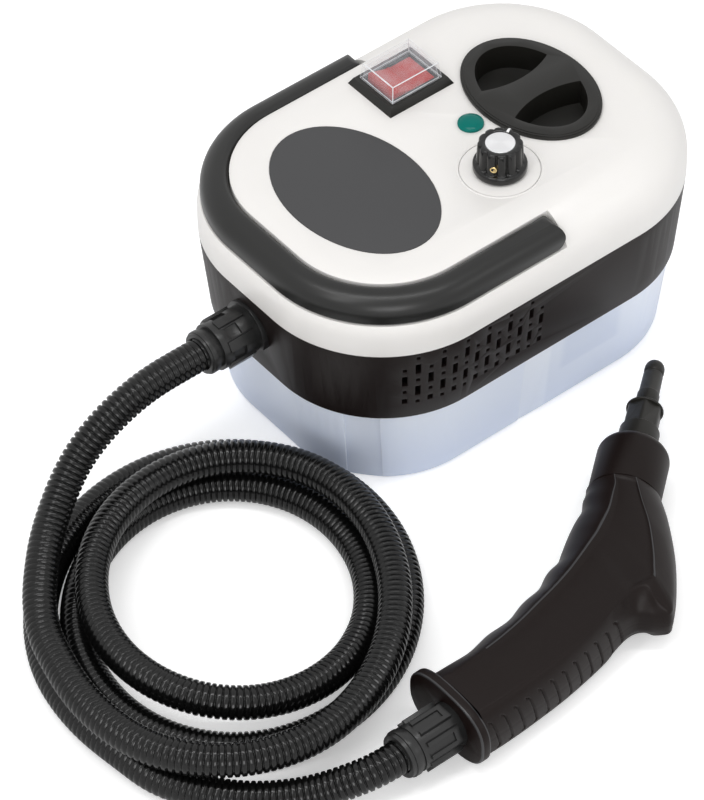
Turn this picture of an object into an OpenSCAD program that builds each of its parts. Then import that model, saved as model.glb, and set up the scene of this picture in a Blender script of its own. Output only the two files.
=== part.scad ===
// Portable steam cleaner: a tank unit with a folding carry handle, a coiled ribbed hose and a steam
// gun that lies beside it. Millimetres, Z up, origin on the floor under the middle of the unit.
// +X points to the filler end of the unit, -X to the hose, -Y to the side with the vents.

// Name of the sub-part to draw, or all

/* [Body] */
// Length of the unit over its top cover
body_length = 230; // [215:1:260]
// Width of the unit over its top cover
body_width = 164; // [156:1:190]
// Height of the unit
body_height = 125; // [118:1:145]
// Corner radius of the unit in plan
corner_radius = 64; // [56:1:70]
// Height of the water tank
tank_height = 48.6; // [40:0.2:60]
// Height of the black middle housing
housing_height = 44.2; // [40:0.2:52]
// How far the foot of the tank stands in from the cover
tank_foot_inset = 11.2; // [8:0.2:14]
// How far the rim of the tank stands in from the cover
tank_rim_inset = 5.6; // [4.6:0.2:7]
// How far the foot of the middle housing stands in from the cover
housing_foot_inset = 4; // [1:0.2:4.4]
// Radius of the shoulder that runs round the cover
shoulder_radius = 23; // [21:0.5:26]
// Wall of the middle housing and the cover
shell_wall = 2.6; // [2:0.1:3.4]
// Wall of the tank
tank_wall = 3.2; // [2.8:0.1:4]
// Floor of the tank
tank_floor = 3; // [2:0.1:4]
// Rounding of the tank's lower edge
tank_edge = 4; // [2:0.2:6]
// Depth of the upright recesses in the tank wall
recess_depth = 1.8; // [1:0.1:2.2]
// Width of the upright recesses in the tank wall
recess_width = 17; // [10:0.5:24]

/* [Vents] */
// Number of vent columns
vent_columns = 13; // [7:1:15]
// Distance of the last column from the middle of the unit
vent_offset = 7.8; // [2:0.2:14]
// Pitch of the columns along the wall
vent_pitch = 6.4; // [5.6:0.1:7]
// Pitch of the rows
vent_row_pitch = 7.6; // [7.2:0.1:8]
// Height of the lowest row over the foot of the housing
vent_first_row = 10.5; // [9:0.5:12]
// Width of a long slot
slot_width = 2.6; // [1.6:0.1:3]
// Length of a long slot
slot_length = 6.5; // [4:0.1:7]
// Side of a small hole
vent_hole = 1.9; // [1.2:0.1:2.4]

/* [Handle] */
// Width of the handle bar
handle_width = 13.6; // [11:0.2:14.4]
// Thickness of the handle bar
handle_thickness = 13.6; // [11:0.2:14.4]
// Distance of the bar's outer side from the cover's outline
handle_inset = 1.8; // [1.4:0.2:3]
// Height of the handle's top over the plateau of the cover, downwards
handle_drop = 0.6; // [0.2:0.1:1]
// Where the handle turns, from the middle of the unit
handle_pivot_x = 0; // [-20:1:14]
// Rounding of the bar's outer upper edge
handle_outer_round = 9; // [6:0.5:9.5]
// Rounding of the bar's inner upper edge
handle_inner_round = 3.5; // [1.5:0.5:4]
// Gap between the handle and its channel
handle_gap = 0.4; // [0.3:0.1:1]
// Diameter of the handle pins
pin_diameter = 6; // [4:0.2:7]
// How far a pin reaches into the cover
pin_reach = 7; // [5:0.5:9]

/* [Filler] */
// Distance of the filler cap from the middle of the unit
cap_x = 53.4; // [51:0.2:57]
// Length of the cap across the unit
cap_length = 78; // [70:0.5:84]
// Width of the cap along the unit
cap_width = 57.4; // [54:0.2:62]
// Width of the rim that lies on the cover
cap_rim = 2.2; // [2.2:0.1:4]
// Thickness of the rim
cap_rim_thickness = 2.6; // [1.6:0.1:4]
// Width of the flat land outside the finger pockets
cap_land = 7; // [5:0.2:8]
// Depth of the finger pockets
pocket_depth = 14; // [8:0.5:20]
// Width of the finger bar in its middle
finger_bar = 14.5; // [12:0.5:18]
// Length of the plug under the rim
plug_length = 18; // [17:0.5:26]
// Wall of the filler neck
neck_wall = 2; // [1.6:0.1:2.6]
// Running gap between plug and neck
plug_gap = 0.5; // [0.4:0.1:0.8]

/* [Switch] */
// Distance of the switch from the middle of the unit, along it
switch_x = 9.5; // [0:0.5:9.5]
// Distance of the switch's far edge from the edge of the plateau
switch_margin = 0.2; // [0.2:0.2:3]
// Length of the bezel
bezel_length = 38.5; // [36:0.5:40]
// Width of the bezel
bezel_width = 32; // [30:0.5:33]
// Height of the bezel over the cover
bezel_height = 3.6; // [2.6:0.2:5]
// Height of the clear boot over the bezel
boot_height = 9; // [7.5:0.5:12]
// Wall of the clear boot
boot_wall = 1; // [0.8:0.1:1.4]
// Length of the rocker
rocker_length = 25; // [22:0.5:25]
// Width of the rocker
rocker_width = 19; // [16:0.5:19.5]
// Tilt of the rocker to each side
rocker_tilt = 9; // [6:0.5:10]

/* [Lamp] */
// Distance of the lamp from the middle of the unit
lamp_x = 16.6; // [14:0.2:17]
// Diameter of the lens
lens_diameter = 12.5; // [9:0.1:12.6]
// Height of the lens over the cover
lens_height = 2.6; // [2:0.1:5]

/* [Knob] */
// Distance of the knob from the middle of the unit, along it
knob_x = 7.5; // [4:0.5:8]
// Distance of the knob from the middle of the unit, across it
knob_y = -32; // [-33:0.5:-30]
// Diameter of the knob's flange
flange_diameter = 25.5; // [23:0.1:27]
// Thickness of the flange
flange_thickness = 4; // [2.4:0.1:5]
// Diameter of the fluted grip
grip_diameter = 21; // [19:0.1:21.6]
// Height of the whole knob
knob_height = 16; // [13:0.1:20]
// Number of flutes
flute_count = 12; // [8:1:16]
// Diameter of the metal disc on top
disc_diameter = 14; // [11:0.1:15]
// Diameter of the shallow ring round the knob
knob_ring_diameter = 39.5; // [36:0.5:41]
// Diameter of the control's shaft
shaft_diameter = 6; // [5:0.1:6.4]
// Gap under the knob's flange
knob_lift = 0.8; // [0.4:0.1:1.4]

/* [Hose] */
// Outer diameter of the ribbed hose
hose_diameter = 15.8; // [14:0.1:15.8]
// Bore of the hose
hose_bore = 10.6; // [8:0.1:11.5]
// Depth of the grooves between the ribs
rib_depth = 1.3; // [0.6:0.1:1.6]
// Pitch of the ribs
rib_pitch = 3; // [2.8:0.1:4]
// Height of the hose connector on the unit
outlet_height = 73; // [72.6:0.2:73.4]
// Distance of the hose connector from the middle of the unit, across it
outlet_y = 3; // [2:0.2:4]
// Diameter of the connector's flange
outlet_flange = 27.5; // [26:0.5:30]
// Diameter of the connector's nut
outlet_nut = 23.6; // [22:0.2:24]
// Diameter of the connector's end ring
outlet_ring = 20.4; // [19.4:0.1:21.6]

/* [Gun] */
// Thickness of the grip, floor to top
gun_thickness = 34.6; // [34:0.2:37]
// Wall of the gun body
gun_wall = 2.6; // [2.2:0.1:3.2]
// Diameter of the front collar
collar_diameter = 34.5; // [31:0.1:34.5]
// Length of the collar
collar_length = 31; // [28:0.5:34]
// Diameter of the stepped fitting behind the tip
fitting_diameter = 19.2; // [17:0.1:21]
// Diameter of the nozzle tip
tip_diameter = 9.7; // [8.7:0.1:10.4]
// Length of the nozzle tip outside the fitting
tip_length = 30; // [24:0.5:38]
// Bore of the nozzle
tip_bore = 3; // [2:0.1:4]
// Diameter of the steam pipe inside the gun
pipe_diameter = 8; // [7:0.1:8.6]

/* [Hidden] */
$fn = 96;
gap = 0.3;
overcut = 1;
clear_fit = 0.2;
running_fit = 0.05;

half_x = body_length / 2 - corner_radius;
half_y = body_width / 2 - corner_radius;
housing_z = tank_height;
cover_z = housing_z + housing_height;
shoulder_z = body_height - shoulder_radius;
deck_thickness = shell_wall;
deck_top = housing_z + deck_thickness;
plateau_under = body_height - shell_wall;
plateau_edge_y = body_width / 2 - shoulder_radius;

// Plan outline sizes at the levels of the tank
tank_foot_r = corner_radius - tank_foot_inset;
tank_rim_r = corner_radius - tank_rim_inset;
tank_draft = atan((tank_rim_r - tank_foot_r) / tank_height);
housing_foot_r = corner_radius - housing_foot_inset;

// Screw posts
post_diameter = 9;
screw_diameter = 3;
screw_head_diameter = 5.6;
screw_head_height = 2.2;
post_x = half_x + 0.58 * corner_radius;
post_y = half_y + 0.47 * corner_radius;
tank_post_x = half_x + 0.36 * corner_radius;
tank_post_y = half_y + 0.3 * corner_radius;
recess_x = -13;
corner_recess_turn = -49.5;
feet_diameter = 14;
feet_recess = 1.2;
feet_x = half_x;
feet_y = half_y + 0.38 * corner_radius;

// Handle and its channel
handle_top = body_height - handle_drop;
handle_z = handle_top - handle_thickness;
handle_inner = handle_inset + handle_width;
pivot_z = handle_z + handle_thickness / 2;
channel_floor = handle_z - gap;
channel_inner = handle_inner + handle_gap;
channel_end_x = handle_pivot_x + handle_thickness / 2 + handle_gap;
arm_inner_y = body_width / 2 - handle_inner;
pin_seat = 8;

// Filler: rim, plug, neck and the opening in the cover
cap_a = cap_width / 2;
cap_b = cap_length / 2;
neck_a = cap_a - cap_rim;
neck_b = cap_b - cap_rim;
bore_a = neck_a - neck_wall;
bore_b = neck_b - neck_wall;
plug_a = bore_a - plug_gap;
plug_b = bore_b - plug_gap;
plug_wall = 2.6;
plug_floor = 1.6;
gasket_thickness = 2.4;
gasket_groove = 1.2;
gasket_z = body_height - plug_length + 4;
waist_radius = 44.5;
oval_points = 72;

// Rating plate
plate_x = -52.7;
plate_a = 33;
plate_b = 48;
plate_recess = 0.4;
plate_thickness = 0.6;

// Switch
switch_y = plateau_edge_y - switch_margin - bezel_width / 2;
switch_cut_length = bezel_length - 8;
switch_cut_width = bezel_width - 8;
switch_depth = 24;
switch_floor = 14;
boot_length = bezel_length - 8.5;
boot_width = bezel_width - 7.5;
boot_taper = 1.1;
rocker_axis_z = body_height + bezel_height - 2.2;
rocker_pin = 3;
rocker_thickness = 5;
well_length = rocker_length + 2.4;
well_width = rocker_width + 1;
rocker_lobe = 3.4;

// Lamp
lamp_bezel = 1.1;
lamp_body_diameter = lens_diameter - 2;
lamp_body_length = 18;

// Knob
knob_z = body_height + knob_lift;
knob_top = knob_z + knob_height;
ring_lip = 0.9;
ring_depth = 0.5;
disc_depth = 0.8;
flute_radius = 1.5;
notch_width = 1.6;
pointer_angle = 49;
set_screw_diameter = 3.4;
set_screw_angle = 233;
set_screw_reach = 6;
control_diameter = 22;
control_depth = 11;
bushing_diameter = 9.4;
bushing_height = 2;
shaft_top = knob_top - disc_depth - 2.4;

// Works inside the housing
boiler_size = [78, 46, 34];
boiler_foot = 6;
boiler_inlet = 21;
boiler_x = -half_x + 16;
boiler_y = -half_y - 8;
boiler_outlet_y = boiler_y + 16;
boiler_z = deck_top + boiler_foot;
boiler_top = boiler_z + boiler_size[2];
element_diameter = 8;
element_depth = 30;
stat_diameter = 16;
stat_height = 7;
pump_diameter = 34;
pump_length = 56;
pump_x = -half_x + 16;
pump_y = half_y + 26;
pump_z = deck_top + pump_diameter / 2 + 6;
pump_port = 9;
bracket_wall = 1.6;
board_size = [1.6, 58, 40];
board_x = half_x + 45;
board_post = 8;
tube_diameter = 6;
tube_bore = 3.6;
suction_x = pump_x + pump_length / 2 + pump_port + 12;
filter_height = 12;
filter_diameter = 18;

// Hose connector on the unit
outlet_face = -body_length / 2;
housing_slope = housing_foot_inset / housing_height;
outlet_wall_x = outlet_face + housing_slope * (cover_z - outlet_height);
flange_length = 4.2;
nut_length = 20;
ring_length = 7;
flange_seat = outlet_wall_x + housing_slope * outlet_flange / 2;
flange_out = flange_seat - flange_length;
nut_out = flange_out - nut_length;
ring_out = nut_out - ring_length;
outlet_hole = 16;
spigot_end = outlet_wall_x + shell_wall + 6;
gland_x = half_x - 14;
gland_z = housing_z + housing_height / 2;
gland_hole = 12;
gland_reach = 16;
cable_diameter = 7;
wall_lean = atan(housing_slope);

// Route of the hose from the connector to the coil: way along the unit, way across it, share of the fall
lead_way = [
  [-1, 0, 1], [-9, 0, 1], [-17, 0, 1], [-28, 0, 0.99], [-39, 0, 0.94], [-50, 0, 0.855], [-61, -0.5, 0.74],
  [-72, -2, 0.605], [-83, -6, 0.46], [-94, -12, 0.325], [-105, -20, 0.215], [-115, -30, 0.13],
  [-123.1, -39.3, 0.07], [-129.7, -49.8, 0.025]
];
// Route of the hose from the coil to the gun: place on the floor, share of the rise
tail_way = [
  [-280, -139, 0], [-275, -150, 0], [-268.5, -161, 0], [-260.5, -171, 0], [-251, -179.5, 0],
  [-240.5, -187, 0.06], [-229.5, -193.5, 0.22], [-219, -199, 0.55], [-211, -203, 0.83],
  [-205, -205, 1], [-196, -205, 1], [-188, -205, 1], [-180, -205, 1]
];
// Where the coil and the gun lie: drawn for one size of the unit, and moved along with its sides
drawn_ring_x = -143.2;
drawn_half_width = 82;
lay_shift = [ring_out - drawn_ring_x, drawn_half_width - body_width / 2, 0];
// The coil spirals in on its upper layer, drops to the floor and spirals out again
coil_centre = [-192, -82];
coil_start_angle = 165;
coil_inner = 61.5;
coil_pitch_in = 20;
coil_pitch_out = 16.6;
coil_drop_start = 1.05;
coil_drop_end = 1.55;
coil_out_start = 1.36;
coil_turns = 3.08;
coil_gap = 0.9;
coil_lower = hose_diameter / 2 + 0.1;
coil_upper = coil_lower + hose_diameter + coil_gap;
coil_stretch = 0.13;
coil_long_axis = [0.626, 0.78];
coil_lean = [-9.5, -12.5];
coil_lean_start = 0.25;
coil_lean_turns = 0.35;
coil_blend = 0.12;
coil_rings = 24;
coil_straight = 16;
hose_join = 3;
hose_sides = 8;
coil_sides = 6;

// Gun: it lies on its side with the middle of its body half its thickness over the floor
gun_z = gun_thickness / 2;
grip_x = -160;
grip_y = -201.3;
gun_cap_length = 5;
gun_cap_size = [51, gun_thickness];
gun_cap_power = 2.6;
gun_cap_plug = 6;
gun_nut_length = 23;
gun_nut_diameter = 24;
gun_ring_length = 7;
gun_ring_diameter = 21.5;
gun_nut_x = grip_x - gun_cap_length - gun_nut_length;
gun_nut_y = -205;
hose_seat = 6;
head_angle = 39;
head_point = [-17.5, -151.7];
collar_shoulder = 5.8;
fitting_ring = 13.7;
fitting_hex = 14.9;
fitting_length = fitting_ring + fitting_hex;
stem_length = 8;
stem_diameter = 6.4;
tip_foot = 9.1;
tip_rounding = 3.4;
neck_end = collar_diameter / 2 + 0.6;
head_side = [-sin(head_angle), cos(head_angle)];
pipe_reach = 22;
// Sections of the gun body from the end cap to the collar, seen from above: finger side, crease next
// to it, crease next to the palm, palm side, height of the creases, share of the half thickness,
// and form of the palm side (above 0 hollow, below 0 a sharp ridge)
gun_sections = [
  [[-160, -180.6], [-160, -192.7], [-160, -217.6], [-160, -223.4], 0.9, 1, 0],
  [[-148, -181], [-148, -192.4], [-148, -217.9], [-148, -223.3], 0.9, 1, 0],
  [[-137, -181.4], [-137, -191.6], [-136, -217.6], [-136, -222.8], 0.9, 1, 0],
  [[-124, -178.4], [-124, -190.2], [-124, -216.9], [-124, -222], 0.9, 0.99, 0],
  [[-111, -178], [-111, -188], [-112, -216.2], [-112, -220.8], 0.9, 0.98, 0],
  [[-99, -173.8], [-98, -185], [-101, -214.9], [-101, -219], 0.9, 0.98, 0],
  [[-88, -172.2], [-86, -182.2], [-90, -213.2], [-90, -216.8], 0.9, 0.98, 0],
  [[-78, -166.8], [-75, -179], [-80, -211.4], [-80, -214.8], 0.9, 0.98, 0.2],
  [[-70, -165], [-66, -175.7], [-71, -208.6], [-71, -212.6], 0.9, 0.98, 0.7],
  [[-63, -160.4], [-58, -172.5], [-63, -206.8], [-63, -213], 0.9, 0.98, 1],
  [[-57, -156.4], [-50.5, -169.4], [-56.5, -207.2], [-57.5, -218.6], 0.9, 0.98, 0.7],
  [[-51.5, -153], [-46, -167], [-49.5, -208.5], [-51.5, -223], 0.9, 0.98, -1],
  [[-46, -150], [-41.5, -164.6], [-43.5, -202.5], [-44.5, -218.2], 0.9, 0.97, -0.6],
  [[-39.5, -147], [-35.5, -161.2], [-36, -193], [-34, -207.2], 0.9, 0.97, -0.3],
  [[-34.8, -142.5], [-29, -156.2], [-27.5, -180.5], [-23.5, -194.2], 0.91, 0.97, 0],
  [[-31.3, -140.3], [-23.7, -152], [-21, -168], [-12.2, -177], 0.93, 0.97, 0],
  concat([for (share = [1, 0.28, -0.31, -1]) head_point + share * neck_end * head_side], [0.96, 0.97, 0])
];
// Shares of the way in and of the height of the creases, for the band of the finger side, the panel
// and the palm side
finger_band = [[0, 0], [0.12, 0.42], [0.45, 0.77], [1, 1]];
panel_crown = [[0.25, 0.75], [0.5, 1], [0.75, 0.75]];
palm_full = [[0, 0], [0.06, 0.36], [0.25, 0.66], [0.58, 0.88], [1, 1]];
palm_hollow = [[0, 0], [0.05, 0.3], [0.2, 0.45], [0.55, 0.66], [1, 1]];
palm_ridge = [[0, 0], [0.04, 0.3], [0.1, 0.5], [0.5, 0.75], [1, 1]];

// Smooth step from 0 to 1
function ease(t) = let (c = min(max(t, 0), 1)) c * c * (3 - 2 * c);

// Unit vector
function unit(v) = v / norm(v);

// Sum of a list of numbers
function total(v) = v * [for (i = [1:len(v)]) 1];

// One point of a smooth curve through four points
function curve_point(a, b, c, d, t) =
  let (m = (c - a) / 2, n = (d - b) / 2)
  (2 * t * t * t - 3 * t * t + 1) * b + (t * t * t - 2 * t * t + t) * m
  + (3 * t * t - 2 * t * t * t) * c + (t * t * t - t * t) * n;

// Smooth curve through a list of points, with a number of steps between each two
function curve(points, steps) =
  let (last = len(points) - 1)
  [for (i = [0:last - 1]) for (k = [0:steps - 1])
    curve_point(points[max(i - 1, 0)], points[i], points[i + 1], points[min(i + 2, last)], k / steps),
   points[last]];

// Distance along a list of points up to each of them
function run_lengths(points, i = 0, sum = 0, out = []) =
  i == len(points) ? out
  : let (s = i == 0 ? 0 : sum + norm(points[i] - points[i - 1]))
    run_lengths(points, i + 1, s, concat(out, [s]));

// The point at a distance along a list of points
function along(points, lengths, s) =
  [for (axis = [0:2]) lookup(s, [for (i = [0:len(points) - 1]) [lengths[i], points[i][axis]]])];

// Points at even distances along a route
function even_points(points, count) =
  let (fine = curve(points, 8), lengths = run_lengths(fine), whole = lengths[len(lengths) - 1])
  [for (i = [0:count]) along(fine, lengths, whole * i / count)];

// A ring of points round one point of a route
function ring_at(centre, direction, radius, sides, turn = 0) =
  let (side = unit(cross(direction, [0, 0, 1])), up = cross(side, direction))
  [for (k = [0:sides - 1])
    let (a = 360 * k / sides + turn)
    centre + radius * (cos(a) * side + sin(a) * up)];

// Direction of a route at one of its points
function heading(points, i) = unit(points[min(i + 1, len(points) - 1)] - points[max(i - 1, 0)]);

// Radius of the coil after a number of turns, before its corners are blended
function spiral_radius(turn) =
  turn < coil_drop_start ? coil_inner + coil_pitch_in * (coil_drop_start - turn)
  : turn < coil_out_start ? coil_inner
  : coil_inner + coil_pitch_out * (turn - coil_out_start);

// Radius of the coil after a number of turns
function coil_radius(turn) =
  total([for (k = [-4:4]) spiral_radius(min(max(turn + coil_blend * k / 4, 0), coil_turns))]) / 9;

// Middle of the hose after a number of turns of the coil
function coil_point(turn) =
  let (
    angle = coil_start_angle + 360 * turn,
    flat = coil_radius(turn) * [cos(angle), sin(angle)],
    longer = flat + coil_stretch * (flat * coil_long_axis) * coil_long_axis,
    lean = coil_lean * (1 - ease((turn - coil_lean_start) / coil_lean_turns)),
    fall = ease((turn - coil_drop_start) / (coil_drop_end - coil_drop_start))
  )
  concat(coil_centre + longer + lean, [coil_upper + (coil_lower - coil_upper) * fall]);

coil_steps = round(coil_turns * coil_rings);
coil_line = [for (i = [0:coil_steps]) coil_point(coil_turns * i / coil_steps)];
coil_in_heading = unit(coil_point(0.001) - coil_point(0));
coil_out_heading = unit(coil_point(coil_turns) - coil_point(coil_turns - 0.001));
coil_in = coil_line[0] - coil_straight * coil_in_heading;
coil_out = coil_line[coil_steps] + coil_straight * coil_out_heading;
coil_route = concat([coil_in], coil_line, [coil_out]);
lead_route = concat(
  [[flange_out - hose_seat, outlet_y, outlet_height]],
  [for (p = lead_way)
    [ring_out + p[0], outlet_y + p[1], coil_upper + p[2] * (outlet_height - coil_upper)]],
  [for (i = [2, 1, 0]) coil_in - i * hose_join * coil_in_heading + lay_shift]
);
tail_route = concat(
  [coil_out],
  [for (p = tail_way) [p[0], p[1], coil_lower + p[2] * (gun_z - coil_lower)]],
  [[gun_nut_x + gun_nut_length - hose_seat - gap, gun_nut_y, gun_z]]
);

// Least gap between turns of the coil, measured on points
coil_least_gap = min([
  for (i = [0:coil_steps]) for (j = [i + round(coil_rings / 3):1:coil_steps])
    norm(coil_line[i] - coil_line[j])
]) - hose_diameter;
echo("Least gap of the coil to itself in mm", coil_least_gap);

// A closed skin over rings of points that have the same count
module skin(rings, loop = false) {
  n = len(rings[0]);
  last = len(rings) - 1;
  sides = [
    for (i = [0:last - 1]) for (k = [0:n - 1])
      for (t = [[[i, k], [i, (k + 1) % n], [i + 1, (k + 1) % n]],
                [[i, k], [i + 1, (k + 1) % n], [i + 1, k]]])
        [for (p = t) p[0] * n + p[1]]
  ];
  closing = [
    for (k = [0:n - 1])
      for (t = [[[last, k], [last, (k + 1) % n], [0, (k + 1) % n]],
                [[last, k], [0, (k + 1) % n], [0, k]]])
        [for (p = t) p[0] * n + p[1]]
  ];
  ladder = [
    for (k = [0:n / 2 - 2])
      for (t = [[k, k + 1, n - 2 - k], [k, n - 2 - k, n - 1 - k]]) t
  ];
  caps = concat(
    [for (t = ladder) [t[2], t[1], t[0]]],
    [for (t = ladder) [for (k = t) last * n + k]]
  );
  points = [for (r = rings) for (p = r) p];
  polyhedron(points, concat(sides, loop ? closing : caps));
}

// A ribbed hose with its bore along a route
module ribbed_hose(route) {
  ribs = round(run_lengths(curve(route, 8))[8 * (len(route) - 1)] / rib_pitch);
  line = even_points(route, 2 * ribs);
  last = len(line) - 1;
  outer = [for (i = [0:last])
    ring_at(line[i], heading(line, i), hose_diameter / 2 - (i % 2 == 0 ? rib_depth : 0), hose_sides)];
  inner = [for (i = [last:-2:0]) ring_at(line[i], heading(line, i), hose_bore / 2, hose_sides)];
  skin(concat(outer, inner), loop = true);
}

// A profile swept round the rounded plan outline: x is the distance out from the corner centres
module round_sweep(low, high) {
  for (sx = [0, 1], sy = [0, 1])
    mirror([sx, 0, 0]) mirror([0, sy, 0]) translate([half_x, half_y, 0])
      rotate_extrude(angle = 90) children();
  for (sy = [0, 1])
    mirror([0, sy, 0]) translate([-half_x, half_y, 0])
      rotate([90, 0, 90]) linear_extrude(2 * half_x) children();
  for (sx = [0, 1])
    mirror([sx, 0, 0]) translate([half_x, half_y, 0])
      rotate([90, 0, 0]) linear_extrude(2 * half_y) children();
  translate([-half_x, -half_y, low]) cube([2 * half_x, 2 * half_y, high - low]);
}

// A profile swept along the handle: round the -X end and forward to the pivot
module handle_sweep(end_x) {
  for (sy = [0, 1])
    mirror([0, sy, 0]) translate([-half_x, half_y, 0]) rotate(90) rotate_extrude(angle = 90) children();
  for (sy = [0, 1])
    mirror([0, sy, 0]) translate([-half_x, half_y, 0])
      rotate([90, 0, 90]) linear_extrude(half_x + end_x) children();
  mirror([1, 0, 0]) translate([half_x, half_y, 0]) rotate([90, 0, 0]) linear_extrude(2 * half_y) children();
}

// An oval with its half widths along x and y
module oval(a, b) {
  polygon([for (i = [0:oval_points - 1]) [a * cos(360 * i / oval_points), b * sin(360 * i / oval_points)]]);
}

// A box that tapers from one rectangle to a smaller one
module tapered_box(low, high, height) {
  corner = [[-1, -1], [-1, 1], [1, 1], [1, -1]];
  rings = [for (s = [[low, 0], [high, height]])
    [for (c = corner) [c[0] * s[0][0] / 2, c[1] * s[0][1] / 2, s[1]]]];
  skin(rings);
}

// Moves the coil and the gun along with the sides of the unit
module laid() {
  translate(lay_shift) children();
}

module at_corners(x, y) {
  for (sx = [-1, 1], sy = [-1, 1]) translate([sx * x, sy * y, 0]) children();
}

module tank_outline(foot, rim, z0, z1, edge) {
  draft = atan((rim - foot) / (z1 - z0));
  centre_x = foot - edge * (1 - sin(draft)) / cos(draft);
  polygon([
    [0, z0], [centre_x, z0], [centre_x + edge * cos(draft), z0 + edge * (1 - sin(draft))],
    [rim, z1], [0, z1]
  ]);
  translate([centre_x, z0 + edge]) circle(edge);
}

module water_tank() {
  inner_foot = tank_foot_r - tank_wall;
  inner_rim = tank_rim_r - tank_wall;
  color("lightsteelblue") difference() {
    union() {
      difference() {
        round_sweep(0, tank_height) tank_outline(tank_foot_r, tank_rim_r, 0, tank_height, tank_edge);
        round_sweep(tank_floor, tank_height + overcut)
          polygon([
            [0, tank_floor], [inner_foot + 0.4, tank_floor], [inner_rim, tank_height],
            [inner_rim, tank_height + overcut], [0, tank_height + overcut]
          ]);
      }
      at_corners(tank_post_x, tank_post_y) cylinder(d = post_diameter, h = tank_height);
    }
    tank_recesses();
    at_corners(tank_post_x, tank_post_y) {
      translate([0, 0, -overcut]) cylinder(d = screw_diameter + 2 * clear_fit, h = tank_height + 2 * overcut);
      translate([0, 0, -overcut])
        cylinder(d = screw_head_diameter + 4 * clear_fit, h = screw_head_height + gap + overcut);
    }
    at_corners(feet_x, feet_y) translate([0, 0, -overcut]) cylinder(d = feet_diameter, h = feet_recess + overcut);
  }
}

// Two upright recesses: one on the vented side, one on the corner beside it
module tank_recesses() {
  side_y = -(body_width / 2 - tank_rim_inset);
  lean = atan((tank_foot_inset - tank_rim_inset) / tank_height);
  turn = asin(recess_depth / recess_width);
  reach = 20;
  translate([recess_x, side_y, tank_height]) rotate([lean, 0, 0]) rotate(-turn)
    translate([0, -reach, -2 * tank_height]) cube([recess_width + 6, reach + recess_depth, 3 * tank_height]);
  translate([-half_x, -half_y, tank_height]) rotate(corner_recess_turn) translate([0, -tank_rim_r, 0])
    rotate([lean, 0, 0]) translate([-recess_width / 2, -reach, -2 * tank_height])
      cube([recess_width, reach + recess_depth, 3 * tank_height]);
}

module tank_screws() {
  color("silver") at_corners(tank_post_x, tank_post_y) translate([0, 0, gap]) {
    cylinder(d = screw_head_diameter, h = screw_head_height);
    cylinder(d = screw_diameter, h = tank_height + deck_thickness - gap);
  }
}

module rubber_feet() {
  color("dimgray") at_corners(feet_x, feet_y) cylinder(d = feet_diameter - 2 * clear_fit, h = feet_recess);
}

module middle_housing() {
  foot = housing_foot_r;
  inner_low = foot - shell_wall + deck_thickness * housing_slope;
  color([0.16, 0.15, 0.15]) difference() {
    union() {
      difference() {
        round_sweep(housing_z, cover_z)
          polygon([[0, housing_z], [foot, housing_z], [corner_radius, cover_z], [0, cover_z]]);
        round_sweep(deck_top, cover_z + overcut)
          polygon([
            [0, deck_top], [inner_low, deck_top], [corner_radius - shell_wall, cover_z],
            [corner_radius - shell_wall, cover_z + overcut], [0, cover_z + overcut]
          ]);
      }
      at_corners(post_x, post_y) translate([0, 0, housing_z]) cylinder(d = post_diameter, h = housing_height);
      translate([outlet_wall_x + 1, outlet_y, outlet_height]) rotate([0, 90, 0])
        cylinder(d = outlet_hole + 5, h = shell_wall + 2);
    }
    vent_holes();
    at_corners(post_x, post_y) screw_hole(housing_z, cover_z + overcut);
    at_corners(tank_post_x, tank_post_y) translate([0, 0, housing_z - overcut])
      cylinder(d = screw_diameter, h = deck_thickness + 2 * overcut);
    translate([cap_x, 0, housing_z - overcut]) linear_extrude(deck_thickness + 2 * overcut)
      oval(neck_a + clear_fit, neck_b + clear_fit);
    translate([suction_x, pump_y, housing_z - overcut])
      cylinder(d = tube_diameter + 2 * clear_fit, h = deck_thickness + 2 * overcut);
    translate([outlet_wall_x - 10, outlet_y, outlet_height]) rotate([0, 90, 0])
      cylinder(d = outlet_hole, h = 30);
    translate([gland_x, body_width / 2 - housing_slope * (cover_z - gland_z), gland_z])
      rotate([-90 - wall_lean, 0, 0]) translate([0, 0, -12]) cylinder(d = gland_hole, h = 24);
  }
}

// A screw's hole with its head's recess at the low end
module screw_hole(low, high) {
  translate([0, 0, low - overcut]) cylinder(d = screw_diameter + 2 * clear_fit, h = high - low + overcut);
  translate([0, 0, low - overcut])
    cylinder(d = screw_head_diameter + 4 * clear_fit, h = screw_head_height + gap + overcut);
}

// Vent columns that run along the side and round the corner
module vent_holes() {
  straight = half_x - vent_offset;
  for (k = [0:vent_columns - 1]) {
    run = k * vent_pitch;
    bend = max(0, run - straight) / corner_radius * 180 / PI;
    x = -vent_offset - min(run, straight);
    translate([x, -half_y, 0]) rotate(-bend) translate([0, -corner_radius, 0]) vent_column(k % 2 == 0);
  }
}

module vent_column(odd) {
  first = housing_z + vent_first_row;
  for (row = [0:4]) {
    z = first + row * vent_row_pitch;
    long = odd ? row == 2 : row == 1 || row == 3;
    if (long) vent_cut(slot_width, slot_length, z);
    else if (odd && row == 0) vent_cut(slot_width, slot_length / 2, z + 1);
    else if (!odd || row < 4) vent_cut(vent_hole, vent_hole, z);
  }
}

module vent_cut(width, height, z) {
  translate([-width / 2, -3, z - height / 2]) cube([width, 3 + housing_foot_inset + shell_wall + 1, height]);
}

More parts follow.
